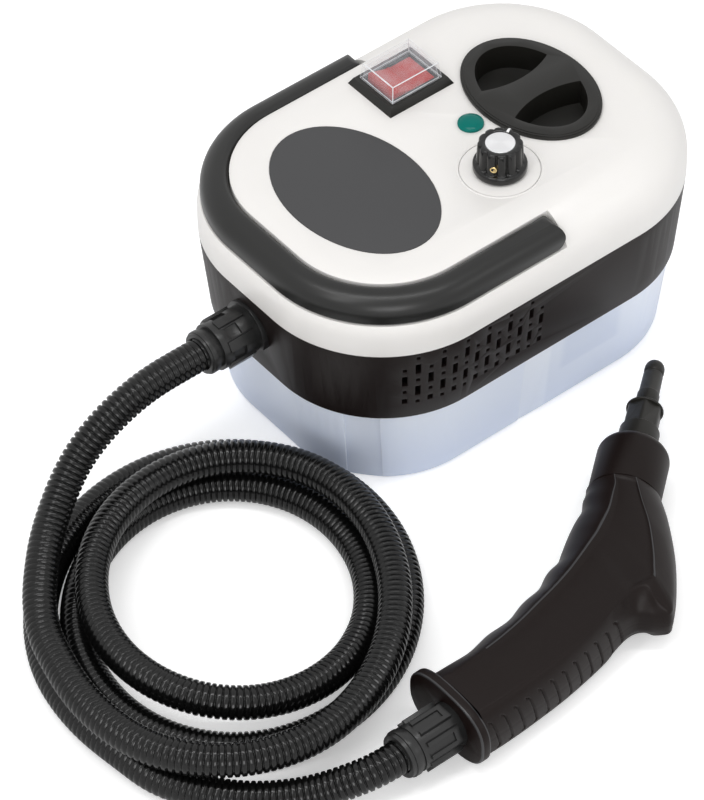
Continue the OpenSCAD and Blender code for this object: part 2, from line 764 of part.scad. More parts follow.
module cable_gland() {
  wall_y = body_width / 2 - housing_slope * (cover_z - gland_z);
  color("black") translate([gland_x, wall_y, gland_z]) rotate([-90 - wall_lean, 0, 0]) difference() {
    union() {
      translate([0, 0, -shell_wall - 3]) cylinder(d = gland_hole - 2 * clear_fit, h = shell_wall + 5);
      translate([0, 0, -shell_wall - 2.4]) cylinder(d = gland_hole + 4, h = 2.4);
      cylinder(d = gland_hole + 5, h = 2.4);
      translate([0, 0, 2]) cylinder(d1 = gland_hole, d2 = gland_hole - 3, h = gland_reach);
    }
    translate([0, 0, -10]) cylinder(d = cable_diameter, h = gland_reach + 20);
    for (z = [5:4:gland_reach]) for (s = [-1, 1]) translate([s * 6 - 2, -1.2, z]) cube([4, 2.4, 1.6]);
  }
}

// Outer form of the cover: an upright side, a round shoulder and a flat top
module cover_profile(r, low, inset) {
  side = shoulder_z;
  round_r = shoulder_radius - inset;
  square([r - shoulder_radius, body_height - inset]);
  intersection() {
    translate([0, 0]) square([r - inset, body_height - inset]);
    union() {
      translate([r - shoulder_radius, shoulder_z]) circle(round_r);
      square([r - inset, shoulder_z]);
    }
  }
}

module cover_solid(inset, low) {
  intersection() {
    round_sweep(0, body_height - inset) cover_profile(corner_radius, low, inset);
    translate([-body_length, -body_width, low]) cube([2 * body_length, 2 * body_width, 2 * body_height]);
  }
}

module channel_profile(extra, low) {
  translate([corner_radius - channel_inner - extra, low])
    square([channel_inner + extra + overcut, body_height - low + 2 * overcut]);
}

module top_cover() {
  lining = shell_wall;
  color("whitesmoke") difference() {
    union() {
      difference() {
        cover_solid(0, cover_z);
        difference() {
          cover_solid(shell_wall, cover_z - overcut);
          handle_sweep(channel_end_x + lining) channel_profile(lining, channel_floor - lining);
        }
      }
      intersection() {
        at_corners(post_x, post_y) translate([0, 0, cover_z + gap]) cylinder(d = post_diameter, h = body_height);
        cover_solid(shell_wall / 2, cover_z - overcut);
      }
      for (sy = [-1, 1]) pin_boss(sy);
    }
    handle_sweep(channel_end_x) channel_profile(0, channel_floor);
    for (sx = [-1, 1], sy = [-1, 1]) translate([sx * post_x, sy * post_y, 0])
      translate([0, 0, cover_z - overcut]) cylinder(d = screw_diameter, h = 10 + overcut);
    for (sy = [-1, 1]) translate([handle_pivot_x, 0, pivot_z]) rotate([-sy * 90, 0, 0])
      translate([0, 0, arm_inner_y - pin_reach - gap]) cylinder(d = pin_diameter, h = pin_reach + 4);
    translate([cap_x, 0, plateau_under - overcut]) linear_extrude(shell_wall + 2 * overcut)
      oval(neck_a + clear_fit, neck_b + clear_fit);
    translate([plate_x, 0, body_height - plate_recess]) linear_extrude(plate_recess + overcut)
      oval(plate_a + clear_fit, plate_b + clear_fit);
    translate([switch_x, switch_y, body_height])
      cube([switch_cut_length + 2 * clear_fit, switch_cut_width + 2 * clear_fit, 4 * shell_wall], center = true);
    translate([lamp_x, 0, plateau_under - overcut])
      cylinder(d = lamp_body_diameter + 2 * clear_fit, h = shell_wall + 2 * overcut);
    translate([knob_x, knob_y, plateau_under - overcut])
      cylinder(d = bushing_diameter + 2 * clear_fit, h = shell_wall + 2 * overcut);
    translate([knob_x, knob_y, body_height - ring_depth]) difference() {
      cylinder(d = knob_ring_diameter, h = ring_depth + overcut);
      translate([0, 0, -overcut]) cylinder(d = knob_ring_diameter - 2 * ring_lip, h = ring_depth + 3 * overcut);
    }
  }
}

// Boss inside the plateau that holds a handle pin
module pin_boss(side) {
  translate([handle_pivot_x, side * (arm_inner_y - handle_gap - pin_reach / 2 - 1), 0])
    translate([-pin_diameter, -pin_reach / 2 - 1, pivot_z - pin_diameter])
      cube([2 * pin_diameter, pin_reach + 2, plateau_under + 0.4 - pivot_z + pin_diameter]);
}

module cover_screws() {
  color("silver") at_corners(post_x, post_y) translate([0, 0, housing_z + gap]) {
    cylinder(d = screw_head_diameter, h = screw_head_height);
    cylinder(d = screw_diameter, h = housing_height - gap + 8);
  }
}

module rating_plate() {
  color([0.25, 0.25, 0.26]) translate([plate_x, 0, body_height - plate_recess])
    linear_extrude(plate_thickness) oval(plate_a, plate_b);
}

module filler_neck() {
  color("gray") translate([cap_x, 0, 0]) difference() {
    union() {
      translate([0, 0, housing_z]) linear_extrude(body_height - housing_z) oval(neck_a, neck_b);
      translate([0, 0, deck_top]) linear_extrude(2.4) oval(neck_a + 3, neck_b + 3);
    }
    translate([0, 0, housing_z - overcut]) linear_extrude(body_height - housing_z + 2 * overcut) oval(bore_a, bore_b);
  }
}

// Plan of one finger pocket: the inner oval on one side of the waisted bar
module pocket_plan() {
  intersection() {
    oval(cap_a - cap_land, cap_b - cap_land);
    translate([0, finger_bar / 2 + waist_radius]) circle(waist_radius);
  }
}

module filler_cap() {
  top = body_height + cap_rim_thickness;
  color([0.1, 0.1, 0.1]) translate([cap_x, 0, 0]) difference() {
    union() {
      translate([0, 0, body_height]) linear_extrude(cap_rim_thickness * 0.6) oval(cap_a, cap_b);
      translate([0, 0, body_height]) linear_extrude(cap_rim_thickness * 0.85) oval(cap_a - 0.6, cap_b - 0.6);
      translate([0, 0, body_height]) linear_extrude(cap_rim_thickness) oval(cap_a - 1.5, cap_b - 1.5);
      translate([0, 0, body_height - plug_length]) linear_extrude(plug_length) oval(plug_a, plug_b);
    }
    for (s = [0, 1]) mirror([0, s, 0]) translate([0, 0, top - pocket_depth])
      linear_extrude(pocket_depth + overcut) pocket_plan();
    translate([0, 0, body_height - plug_length - overcut])
      linear_extrude(plug_length - pocket_depth + cap_rim_thickness - plug_floor + overcut)
        oval(plug_a - plug_wall, plug_b - plug_wall);
    translate([0, 0, gasket_z]) linear_extrude(gasket_thickness) difference() {
      oval(plug_a + overcut, plug_b + overcut);
      oval(plug_a - gasket_groove, plug_b - gasket_groove);
    }
  }
}

module cap_gasket() {
  color("dimgray") translate([cap_x, 0, gasket_z]) linear_extrude(gasket_thickness) difference() {
    oval(plug_a + plug_gap - 0.1, plug_b + plug_gap - 0.1);
    oval(plug_a - gasket_groove, plug_b - gasket_groove);
  }
}

// Section of the handle bar; x runs outwards
module handle_profile() {
  x0 = corner_radius - handle_inner;
  x1 = corner_radius - handle_inset;
  low_round = 1.5;
  difference() {
    translate([x0, handle_z]) square([handle_width, handle_thickness]);
    translate([x1 - handle_outer_round, handle_top - handle_outer_round]) difference() {
      square(handle_outer_round + overcut);
      circle(handle_outer_round);
    }
    translate([x0 + handle_inner_round, handle_top - handle_inner_round]) rotate(90) difference() {
      square(handle_inner_round + overcut);
      circle(handle_inner_round);
    }
    translate([x1 - low_round, handle_z + low_round]) rotate(-90) difference() {
      square(low_round + overcut);
      circle(low_round);
    }
  }
}

module carry_handle() {
  color([0.12, 0.12, 0.12]) difference() {
    union() {
      handle_sweep(handle_pivot_x) handle_profile();
      intersection() {
        handle_sweep(handle_pivot_x + handle_thickness) handle_profile();
        translate([handle_pivot_x, -body_width, pivot_z]) rotate([-90, 0, 0])
          cylinder(d = handle_thickness, h = 2 * body_width);
      }
    }
    for (sy = [-1, 1]) translate([handle_pivot_x, 0, pivot_z]) rotate([-sy * 90, 0, 0])
      translate([0, 0, arm_inner_y - overcut])
        cylinder(d = pin_diameter + 2 * running_fit, h = pin_seat + overcut);
  }
}

module handle_pins() {
  color("silver") for (sy = [-1, 1]) translate([handle_pivot_x, 0, pivot_z]) rotate([-sy * 90, 0, 0])
    translate([0, 0, arm_inner_y - pin_reach]) cylinder(d = pin_diameter, h = pin_reach + pin_seat - gap);
}

module switch_housing() {
  top = body_height + bezel_height;
  color([0.1, 0.1, 0.1]) translate([switch_x, switch_y, 0]) difference() {
    union() {
      translate([0, 0, body_height])
        tapered_box([bezel_length, bezel_width], [bezel_length - 4, bezel_width - 4], bezel_height);
      translate([-switch_cut_length / 2, -switch_cut_width / 2, body_height - switch_depth])
        cube([switch_cut_length, switch_cut_width, switch_depth + 1]);
      for (s = [-8, 0, 8]) translate([s - 0.4, -3, body_height - switch_depth - 8]) cube([0.8, 6, 9]);
    }
    translate([-well_length / 2, -well_width / 2, body_height - switch_floor])
      cube([well_length, well_width, switch_floor + bezel_height + overcut]);
    translate([0, -well_width / 2 - 2, rocker_axis_z]) rotate([-90, 0, 0])
      cylinder(d = rocker_pin + 2 * running_fit, h = well_width + 4);
  }
}

// Rocker with its two raised lobes, pressed at the +X side
module switch_rocker() {
  half = rocker_length / 2;
  color("firebrick") translate([switch_x, switch_y, rocker_axis_z]) rotate([0, rocker_tilt, 0]) {
    rotate([90, 0, 0]) linear_extrude(rocker_width, center = true)
      polygon([
        [-half, -rocker_thickness / 2], [half, -rocker_thickness / 2], [half, rocker_lobe],
        [half * 0.5, rocker_lobe - 1], [0, rocker_thickness / 2 - 1.2], [-half * 0.5, rocker_lobe - 1],
        [-half, rocker_lobe]
      ]);
    rotate([-90, 0, 0]) cylinder(d = rocker_pin, h = rocker_width + 3.6, center = true);
  }
}

module switch_boot() {
  base = body_height + bezel_height;
  color([0.9, 0.9, 0.95, 0.4]) translate([switch_x, switch_y, base]) difference() {
    tapered_box([boot_length, boot_width], [boot_length - 2 * boot_taper, boot_width - 2 * boot_taper], boot_height);
    translate([0, 0, -0.01]) tapered_box(
      [boot_length - 2 * boot_wall, boot_width - 2 * boot_wall],
      [boot_length - 2 * boot_wall - 2 * boot_taper, boot_width - 2 * boot_wall - 2 * boot_taper],
      boot_height - boot_wall);
  }
}

module lamp_lens() {
  dome = 1;
  radius = (pow(lens_diameter / 2 - lamp_bezel, 2) + dome * dome) / (2 * dome);
  side = lens_height - dome;
  color("teal") translate([lamp_x, 0, body_height]) {
    cylinder(d = lens_diameter, h = side - 0.4);
    cylinder(d = lens_diameter - 2 * lamp_bezel, h = side);
    intersection() {
      translate([0, 0, lens_height - radius]) sphere(radius);
      translate([0, 0, side - 0.1]) cylinder(d = lens_diameter - 2 * lamp_bezel, h = dome + 1);
    }
  }
}

module lamp_body() {
  color("gray") translate([lamp_x, 0, body_height - lamp_body_length]) {
    cylinder(d = lamp_body_diameter, h = lamp_body_length);
    translate([0, 0, lamp_body_length - shell_wall - 3]) cylinder(d = lamp_body_diameter + 4, h = 3);
    for (s = [-2.5, 2.5]) translate([s - 0.4, -1.5, -6]) cube([0.8, 3, 7]);
  }
}

module power_control() {
  color("tan") translate([knob_x, knob_y, 0]) difference() {
    union() {
      translate([0, 0, plateau_under - control_depth]) cylinder(d = control_diameter, h = control_depth);
      translate([0, 0, plateau_under - 1]) cylinder(d = bushing_diameter, h = 1 + shell_wall + bushing_height);
      for (s = [-6, 0, 6])
        translate([s - 1.2, -control_diameter / 2 - 5, plateau_under - control_depth + 2]) cube([2.4, 7, 0.8]);
    }
    translate([0, 0, plateau_under - control_depth + 3])
      cylinder(d = shaft_diameter + 2 * running_fit, h = control_depth + 10);
  }
}

module knob_shaft() {
  low = plateau_under - control_depth + 3 + clear_fit;
  color("silver") translate([knob_x, knob_y, low]) difference() {
    cylinder(d = shaft_diameter, h = shaft_top - low);
    rotate(set_screw_angle) translate([shaft_diameter / 2 - 1.2, -shaft_diameter, shaft_top - low - 9])
      cube([shaft_diameter, 2 * shaft_diameter, 12]);
  }
}

module control_knob() {
  grip_low = grip_diameter / 2 + 0.5;
  bore = shaft_diameter / 2;
  neck = bushing_diameter / 2 + 0.6;
  cavity = bushing_height + 0.6;
  color([0.08, 0.08, 0.08]) translate([knob_x, knob_y, knob_z]) difference() {
    rotate_extrude() polygon([
      [neck, 0], [flange_diameter / 2 - 0.4, 0], [flange_diameter / 2, 0.8],
      [flange_diameter / 2 - 0.6, flange_thickness - 0.8], [grip_low + 0.6, flange_thickness],
      [grip_low, flange_thickness + 0.6], [grip_diameter / 2 - 0.4, knob_height - 1],
      [grip_diameter / 2 - 1.4, knob_height], [disc_diameter / 2, knob_height],
      [disc_diameter / 2, knob_height - disc_depth], [0, knob_height - disc_depth],
      [0, shaft_top - knob_z], [bore, shaft_top - knob_z], [bore, cavity], [neck, cavity]
    ]);
    for (i = [0:flute_count - 1]) rotate(360 * (i + 0.5) / flute_count)
      translate([grip_diameter / 2 + 0.7, 0, flange_thickness + 1]) cylinder(r = flute_radius, h = knob_height);
    rotate(pointer_angle) translate([disc_diameter / 2 + 0.6, -notch_width / 2, knob_height - 2.5])
      cube([flange_diameter, notch_width, 4]);
    rotate(set_screw_angle) translate([bore - 1, 0, flange_thickness + 3.6]) rotate([0, 90, 0])
      cylinder(d = set_screw_diameter, h = flange_diameter);
  }
}

module knob_disc() {
  color("silver") translate([knob_x, knob_y, knob_top - disc_depth]) cylinder(d = disc_diameter, h = disc_depth + 0.3);
}

module knob_screw() {
  color("goldenrod") translate([knob_x, knob_y, knob_z + flange_thickness + 3.6]) rotate(set_screw_angle)
    translate([shaft_diameter / 2 - 1.2, 0, 0]) rotate([0, 90, 0]) difference() {
      cylinder(d = set_screw_diameter - 0.2, h = set_screw_reach + 3);
      translate([-set_screw_diameter, -0.35, set_screw_reach + 1.8]) cube([2 * set_screw_diameter, 0.7, 3]);
    }
}

// Cast boiler block on four feet, with ribs along its sides
module boiler() {
  size = boiler_size;
  color("lightgray") translate([boiler_x, boiler_y, boiler_z]) difference() {
    union() {
      translate([-size[0] / 2, -size[1] / 2, 0]) cube(size);
      for (x = [-1, 1], y = [-1, 1])
        translate([x * (size[0] / 2 - 6), y * (size[1] / 2 - 6), -boiler_foot]) cylinder(d = 8, h = boiler_foot + 1);
      for (x = [-2:2]) translate([x * 14 - 1.5, -size[1] / 2 - 3, 3]) cube([3, size[1] + 6, size[2] - 6]);
      translate([-size[0] / 2 - 4, boiler_outlet_y - boiler_y, size[2] / 2]) rotate([0, 90, 0])
        cylinder(d = 12, h = 5);
    }
    for (y = [-1, 1]) translate([size[0] / 2 - element_depth, y * size[1] / 4, size[2] / 2]) rotate([0, 90, 0])
      cylinder(d = element_diameter, h = element_depth + 10);
    translate([-size[0] / 2 - 8, boiler_outlet_y - boiler_y, size[2] / 2]) rotate([0, 90, 0])
      cylinder(d = tube_bore, h = 20);
    translate([-boiler_inlet, size[1] / 2 - 10, size[2] / 2]) rotate([-90, 0, 0]) cylinder(d = tube_bore, h = 20);
  }
}

// Two straight ends of the heating element, set in the block, with their terminals
module heating_element() {
  color("dimgray") for (y = [-1, 1])
    translate([boiler_x + boiler_size[0] / 2 - element_depth, boiler_y + y * boiler_size[1] / 4, boiler_z + boiler_size[2] / 2])
      rotate([0, 90, 0]) {
        cylinder(d = element_diameter - 0.1, h = 36);
        cylinder(d = 4, h = 42);
      }
}

module stat_body() {
  cylinder(d = stat_diameter, h = stat_height);
  for (s = [-1, 1]) translate([s * 4 - 0.4, -3, stat_height - 1]) cube([0.8, 6, 6]);
  translate([-11.5, -3, 0]) cube([23, 6, 0.8]);
}

module thermostat() {
  color("peru") translate([boiler_x - 18, boiler_y, boiler_top]) stat_body();
}

module thermal_cutout() {
  color("peru") translate([boiler_x + 14, boiler_y, boiler_top]) stat_body();
}

// Solenoid pump along X: coil body, yoke and two ports
module pump() {
  color("saddlebrown") translate([pump_x, pump_y, pump_z]) rotate([0, 90, 0]) difference() {
    union() {
      cylinder(d = pump_diameter - 4, h = pump_length, center = true);
      cylinder(d = pump_diameter, h = pump_length - 16, center = true);
      cylinder(d = 14, h = pump_length + 8, center = true);
      cylinder(d = tube_diameter + 3, h = pump_length + 2 * pump_port, center = true);
    }
    cylinder(d = tube_bore, h = pump_length + 2 * pump_port + 2, center = true);
  }
}

module pump_bracket() {
  width = pump_diameter + 6;
  color("silver") for (s = [-1, 1])
    translate([pump_x + s * (pump_length / 2 - 4), pump_y, deck_top]) difference() {
      union() {
        translate([-bracket_wall / 2, -width / 2, 0]) cube([bracket_wall, width, pump_z - deck_top + 8]);
        translate([-bracket_wall / 2 - (s < 0 ? 8 : 0), -width / 2, 0]) cube([bracket_wall + 8, width, bracket_wall]);
      }
      translate([-overcut - bracket_wall, 0, pump_z - deck_top]) rotate([0, 90, 0])
        cylinder(d = pump_diameter - 4, h = 2 * bracket_wall + 2 * overcut);
    }
}

module control_board() {
  low = deck_top + board_post;
  color("darkgreen") translate([board_x, 0, 0]) {
    translate([0, -board_size[1] / 2, low]) cube(board_size);
    translate([board_size[0] - 0.2, -20, low + 6]) cube([7, 14, 12]);
    translate([board_size[0] - 0.2, 4, low + 14]) cube([5, 18, 18]);
    translate([-4.8, -14, low + 12]) cube([5, 24, 18]);
    for (s = [-1, 1]) translate([-1.6, s * (board_size[1] / 2 - 5) - 3, deck_top]) difference() {
      cube([5, 6, board_post + 4]);
      translate([1.6, -overcut, board_post]) cube([board_size[0], 6 + 2 * overcut, 10]);
    }
  }
}

// A bored tube along a route
module bored_tube(route, outer, bore) {
  line = curve(route, 3);
  last = len(line) - 1;
  skin(concat(
    [for (i = [0:last]) ring_at(line[i], heading(line, i), outer / 2, hose_sides)],
    [for (i = [last:-1:0]) ring_at(line[i], heading(line, i), bore / 2, hose_sides)]), loop = true);
}

module suction_tube() {
  x0 = pump_x + pump_length / 2 + pump_port;
  drop = tank_floor + filter_height + 1;
  color("white") {
    translate([suction_x, pump_y, drop]) difference() {
      cylinder(d = tube_diameter, h = pump_z - drop + tube_diameter / 2);
      translate([0, 0, -overcut]) cylinder(d = tube_bore, h = pump_z - drop + overcut);
      translate([-tube_diameter, 0, pump_z - drop]) rotate([0, 90, 0]) cylinder(d = tube_bore, h = tube_diameter);
    }
    translate([x0, pump_y, pump_z]) rotate([0, 90, 0]) difference() {
      cylinder(d = tube_diameter, h = suction_x - x0);
      translate([0, 0, -overcut]) cylinder(d = tube_bore, h = suction_x - x0 + overcut);
    }
  }
}

module suction_filter() {
  color("ivory") translate([suction_x, pump_y, tank_floor]) difference() {
    union() {
      cylinder(d = filter_diameter, h = filter_height - 3);
      translate([0, 0, filter_height - 3]) cylinder(d1 = filter_diameter, d2 = tube_diameter + 3, h = 3);
      translate([0, 0, filter_height]) cylinder(d = tube_diameter + 2.4, h = 3);
    }
    translate([0, 0, filter_height + 1]) cylinder(d = tube_diameter + 0.1, h = 10);
    translate([0, 0, 2]) cylinder(d = tube_bore, h = 20);
    for (a = [0:30:330]) rotate(a) translate([filter_diameter / 2 - 2, -0.6, 2]) cube([4, 1.2, 5]);
  }
}

module delivery_tube() {
  x0 = pump_x - pump_length / 2 - pump_port;
  y1 = boiler_y + boiler_size[1] / 2;
  z1 = boiler_z + boiler_size[2] / 2;
  x1 = boiler_x - boiler_inlet;
  span = pump_y - y1;
  color("white") bored_tube([
    [x0, pump_y, pump_z], [x0 - 3, pump_y, pump_z], [x0 - 6, pump_y, pump_z], [x0 - 10, pump_y - 6, pump_z],
    [x0 - 9, y1 + 0.64 * span, pump_z], [x1 - 5, y1 + 0.3 * span, z1 + 1], [x1, y1 + 6, z1],
    [x1, y1 + 3, z1], [x1, y1, z1]
  ], tube_diameter, tube_bore);
}

module steam_tube() {
  x0 = boiler_x - boiler_size[0] / 2 - 4;
  z0 = boiler_z + boiler_size[2] / 2;
  x1 = spigot_end;
  middle = [(x0 + x1) / 2, (boiler_outlet_y + outlet_y) / 2, (z0 + outlet_height) / 2];
  color("silver") bored_tube([
    [x0, boiler_outlet_y, z0], [x0 - 3, boiler_outlet_y, z0], [x0 - 6, boiler_outlet_y, z0], middle,
    [x1 + 6, outlet_y, outlet_height], [x1 + 3, outlet_y, outlet_height], [x1, outlet_y, outlet_height]
  ], tube_diameter, tube_bore);
}

// Flange of the connector, seated on the sloping wall, with a flat cut at its lower side
module hose_flange() {
  color([0.2, 0.2, 0.2]) difference() {
    union() {
      difference() {
        translate([flange_out, outlet_y, outlet_height]) rotate([0, 90, 0])
          cylinder(d = outlet_flange, h = 2 * flange_length);
        translate([outlet_wall_x, 0, outlet_height]) rotate([0, -wall_lean, 0])
          translate([0, -40, -40]) cube([40, 80, 80]);
        translate([flange_out, outlet_y, outlet_height]) rotate([-35, 0, 0])
          translate([-overcut, -20, -outlet_flange / 2 - 20 + 2.4]) cube([20, 40, 20]);
      }
      translate([flange_out + 1, outlet_y, outlet_height]) rotate([0, 90, 0])
        cylinder(d = outlet_hole - 2 * clear_fit, h = spigot_end - flange_out - 1);
    }
    translate([flange_out - overcut, outlet_y, outlet_height]) rotate([0, 90, 0]) cylinder(d = tube_bore, h = 40);
  }
}

// Nut body with flats, two latch windows on each side and a bore for the hose
module hose_nut() {
  color([0.2, 0.2, 0.2]) translate([nut_out, outlet_y, outlet_height]) rotate([0, 90, 0]) difference() {
    union() {
      cylinder(d = outlet_nut, h = nut_length);
      for (a = [0:60:300]) rotate(a) translate([outlet_nut / 2 - 2, -2.6, 3]) cube([3, 5.2, nut_length - 6]);
    }
    translate([0, 0, -overcut]) cylinder(d = hose_diameter + 2 * clear_fit, h = nut_length - hose_seat + overcut);
    translate([0, 0, -overcut]) cylinder(d = tube_bore, h = 2 * nut_length);
    for (a = [30:60:330]) rotate(a) translate([outlet_nut / 2 - 1.6, -3, 5]) cube([4, 6, 7]);
  }
}

module hose_ring() {
  color([0.12, 0.12, 0.12]) translate([ring_out, outlet_y, outlet_height]) rotate([0, 90, 0]) difference() {
    union() {
      cylinder(d = outlet_ring, h = ring_length);
      translate([0, 0, 1.2]) cylinder(d = outlet_ring + 1.4, h = 3);
    }
    translate([0, 0, -overcut]) cylinder(d = hose_diameter + 2 * clear_fit, h = ring_length + 2 * overcut);
  }
}

module hose_lead() {
  color([0.1, 0.1, 0.1]) ribbed_hose(lead_route);
}

module hose_tail() {
  color([0.1, 0.1, 0.1]) laid() ribbed_hose(tail_route);
}

module hose_coil() {
  last = len(coil_route) - 1;
  color([0.12, 0.12, 0.12]) laid() skin([for (i = [0:last])
    ring_at(coil_route[i], heading(coil_route, i), hose_diameter / 2, coil_sides, 90)]);
}

// Ring of the hose at the gun, round the hose's end
module gun_ring() {
  color([0.12, 0.12, 0.12]) laid() translate([gun_nut_x - gun_ring_length, gun_nut_y, gun_z]) rotate([0, 90, 0]) difference() {
    union() {
      cylinder(d = gun_ring_diameter, h = gun_ring_length);
      translate([0, 0, 2]) cylinder(d = gun_ring_diameter + 1.6, h = 3);
    }
    translate([0, 0, -overcut]) cylinder(d = hose_diameter + 2 * clear_fit, h = gun_ring_length + 2 * overcut);
  }
}

// Grooved nut between the ring and the end cap, with raised pads
module gun_connector() {
  color([0.14, 0.14, 0.14]) laid() translate([gun_nut_x, gun_nut_y, gun_z]) rotate([0, 90, 0]) difference() {
    union() {
      cylinder(d = gun_nut_diameter - 1.6, h = gun_nut_length);
      for (a = [0:60:300]) rotate(a) translate([gun_nut_diameter / 2 - 3, -4.2, 2.6]) difference() {
        cube([3.4, 8.4, gun_nut_length - 6]);
        translate([2.2, 2, -overcut]) cube([3, 4.4, gun_nut_length - 8]);
      }
    }
    translate([0, 0, -overcut])
      cylinder(d = hose_diameter + 2 * clear_fit, h = gun_nut_length - hose_seat + overcut);
    translate([0, 0, -overcut]) cylinder(d = pipe_diameter + 2 * clear_fit, h = 2 * gun_nut_length);
  }
}

// Point between two points
function mixed(a, b, share) = a + share * (b - a);

// Outline of the palm side for one form of it
function palm_profile(form) =
  [for (i = [0:len(palm_full) - 1])
    form > 0 ? mixed(palm_full[i], palm_hollow[i], form) : mixed(palm_full[i], palm_ridge[i], -form)];

// Half outline of one section of the gun body, shrunk by an inset
function half_outline(section, side, inset) =
  let (
    middle = (section[0] + section[3]) / 2,
    width = norm(section[3] - section[0]),
    shrink = (width - 2 * inset) / width,
    crease = section[4],
    height = section[5] * gun_thickness / 2 - inset,
    line = concat(
      [for (p = finger_band) concat(mixed(section[0], section[1], p[0]), p[1] * crease)],
      [for (p = panel_crown) concat(mixed(section[1], section[2], p[0]), mixed(crease, 1, p[1]))],
      [for (p = reversed(palm_profile(section[6]))) concat(mixed(section[3], section[2], p[0]), p[1] * crease)])
  )
  [for (p = line) concat(middle + shrink * ([p[0], p[1]] - middle), gun_z + side * p[2] * height)];

function reversed(v) = [for (i = [len(v) - 1:-1:0]) v[i]];

// Half of the gun body, above or below its middle, as a shell
module gun_half(side) {
  rings = [for (s = gun_sections)
    let (loop = concat(half_outline(s, side, 0), reversed(half_outline(s, side, gun_wall))))
    side > 0 ? reversed(loop) : loop];
  laid() skin(rings);
}

module gun_half_lower() {
  color([0.11, 0.11, 0.11]) gun_half(-1);
}

module gun_half_upper() {
  color([0.13, 0.13, 0.13]) gun_half(1);
}

// Squared oval
module soft_oval(a, b, power) {
  share = 2 / power;
  polygon([for (i = [0:oval_points - 1])
    let (c = cos(360 * i / oval_points), d = sin(360 * i / oval_points))
    [a * sign(c) * pow(abs(c), share), b * sign(d) * pow(abs(d), share)]]);
}

// Cap over the end of the grip
module gun_end_cap() {
  a = gun_cap_size[0] / 2;
  b = gun_cap_size[1] / 2;
  color([0.11, 0.11, 0.11]) laid() translate([grip_x - gun_cap_length, grip_y, gun_z]) rotate([90, 0, 90])
    difference() {
      union() {
        linear_extrude(gun_cap_length) soft_oval(a, b, gun_cap_power);
        linear_extrude(gun_cap_length + gun_cap_plug) oval(a - gun_wall - 5.4, b - gun_wall - 2.4);
      }
      translate([gun_nut_y - grip_y, 0, -overcut])
        cylinder(d = pipe_diameter + 2 * clear_fit, h = gun_cap_length + gun_cap_plug + 2 * overcut);
    }
}

// Steam pipe from the hose connector through the grip and along the head
module gun_pipe() {
  axis = [cos(head_angle), sin(head_angle)];
  start = gun_nut_x + gun_nut_length - 4;
  end = head_point + (collar_length + fitting_ring / 2) * axis;
  color("silver") laid() bored_tube(concat(
    [[start, gun_nut_y, gun_z], [start + 14, gun_nut_y, gun_z]],
    [for (i = [2:3:14]) let (s = gun_sections[i]) concat(s[0] + pipe_reach * unit(s[3] - s[0]), gun_z)],
    [concat(head_point - 8 * axis, gun_z), concat(head_point, gun_z), concat(end, gun_z)]
  ), pipe_diameter, 4);
}

// Places its children on the axis of the gun's head, pointing forwards along +Z
module on_head(distance) {
  laid() translate([head_point[0], head_point[1], gun_z]) rotate(head_angle) translate([distance, 0, 0])
    rotate([0, 90, 0]) children();
}

module gun_collar() {
  r = collar_diameter / 2;
  spigot = r - gun_wall - 1.9;
  color([0.11, 0.11, 0.11]) on_head(0) rotate_extrude() difference() {
    union() {
      square([r, collar_length - collar_shoulder]);
      intersection() {
        square([r, collar_length]);
        translate([r - collar_shoulder, collar_length - collar_shoulder]) circle(collar_shoulder);
      }
      square([r - collar_shoulder, collar_length]);
      translate([0, -5]) square([spigot, 8]);
    }
    translate([0, -6]) square([pipe_diameter / 2 + clear_fit, collar_length + 10]);
    translate([pipe_diameter / 2, -6]) square([spigot - 2.4 - pipe_diameter / 2, collar_length]);
  }
}

// Stepped fitting: a knurled ring and a hexagon with a turned end
module gun_fitting() {
  hex = fitting_diameter - 1.3;
  color([0.08, 0.08, 0.08]) on_head(collar_length) difference() {
    union() {
      cylinder(d = fitting_diameter, h = fitting_ring - 1.2);
      translate([0, 0, fitting_ring - 1.2]) cylinder(d1 = fitting_diameter, d2 = fitting_diameter - 2.4, h = 1.2);
      intersection() {
        cylinder(d = hex, h = fitting_length - 1, $fn = 6);
        cylinder(d = hex - 0.8, h = fitting_length);
      }
      cylinder(d = hex - 3, h = fitting_length);
    }
    translate([0, 0, -overcut]) cylinder(d = pipe_diameter, h = fitting_ring / 2 + overcut);
    translate([0, 0, -overcut]) cylinder(d = stem_diameter, h = fitting_length + 2 * overcut);
  }
}

// Nozzle: stem in the fitting, foot and bored tip with a rounded end
module nozzle_tip() {
  r = tip_diameter / 2;
  round_end = tip_rounding;
  color([0.08, 0.08, 0.08]) on_head(collar_length + fitting_length - stem_length) rotate_extrude() difference() {
    union() {
      square([stem_diameter / 2, stem_length + 1]);
      translate([0, stem_length]) square([r + 0.5, tip_foot]);
      translate([0, stem_length]) square([r, tip_length - round_end]);
      intersection() {
        square([r, stem_length + tip_length]);
        translate([r - round_end, stem_length + tip_length - round_end]) circle(round_end);
      }
      translate([0, stem_length]) square([r - round_end, tip_length]);
    }
    translate([0, -overcut]) square([tip_bore / 2, stem_length + tip_length + 2 * overcut]);
  }
}

water_tank();
tank_screws();
rubber_feet();
middle_housing();
cable_gland();
top_cover();
cover_screws();
filler_neck();
filler_cap();
cap_gasket();
carry_handle();
handle_pins();
rating_plate();
switch_housing();
switch_rocker();
switch_boot();
lamp_lens();
lamp_body();
power_control();
knob_shaft();
control_knob();
knob_disc();
knob_screw();
boiler();
heating_element();
thermostat();
thermal_cutout();
pump();
pump_bracket();
control_board();
suction_tube();
suction_filter();
delivery_tube();
steam_tube();
hose_flange();
hose_nut();
hose_ring();
hose_lead();
hose_coil();
hose_tail();
gun_connector();
gun_ring();
gun_half_lower();
gun_half_upper();
gun_end_cap();
gun_pipe();
gun_collar();
gun_fitting();
nozzle_tip();
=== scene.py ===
import math

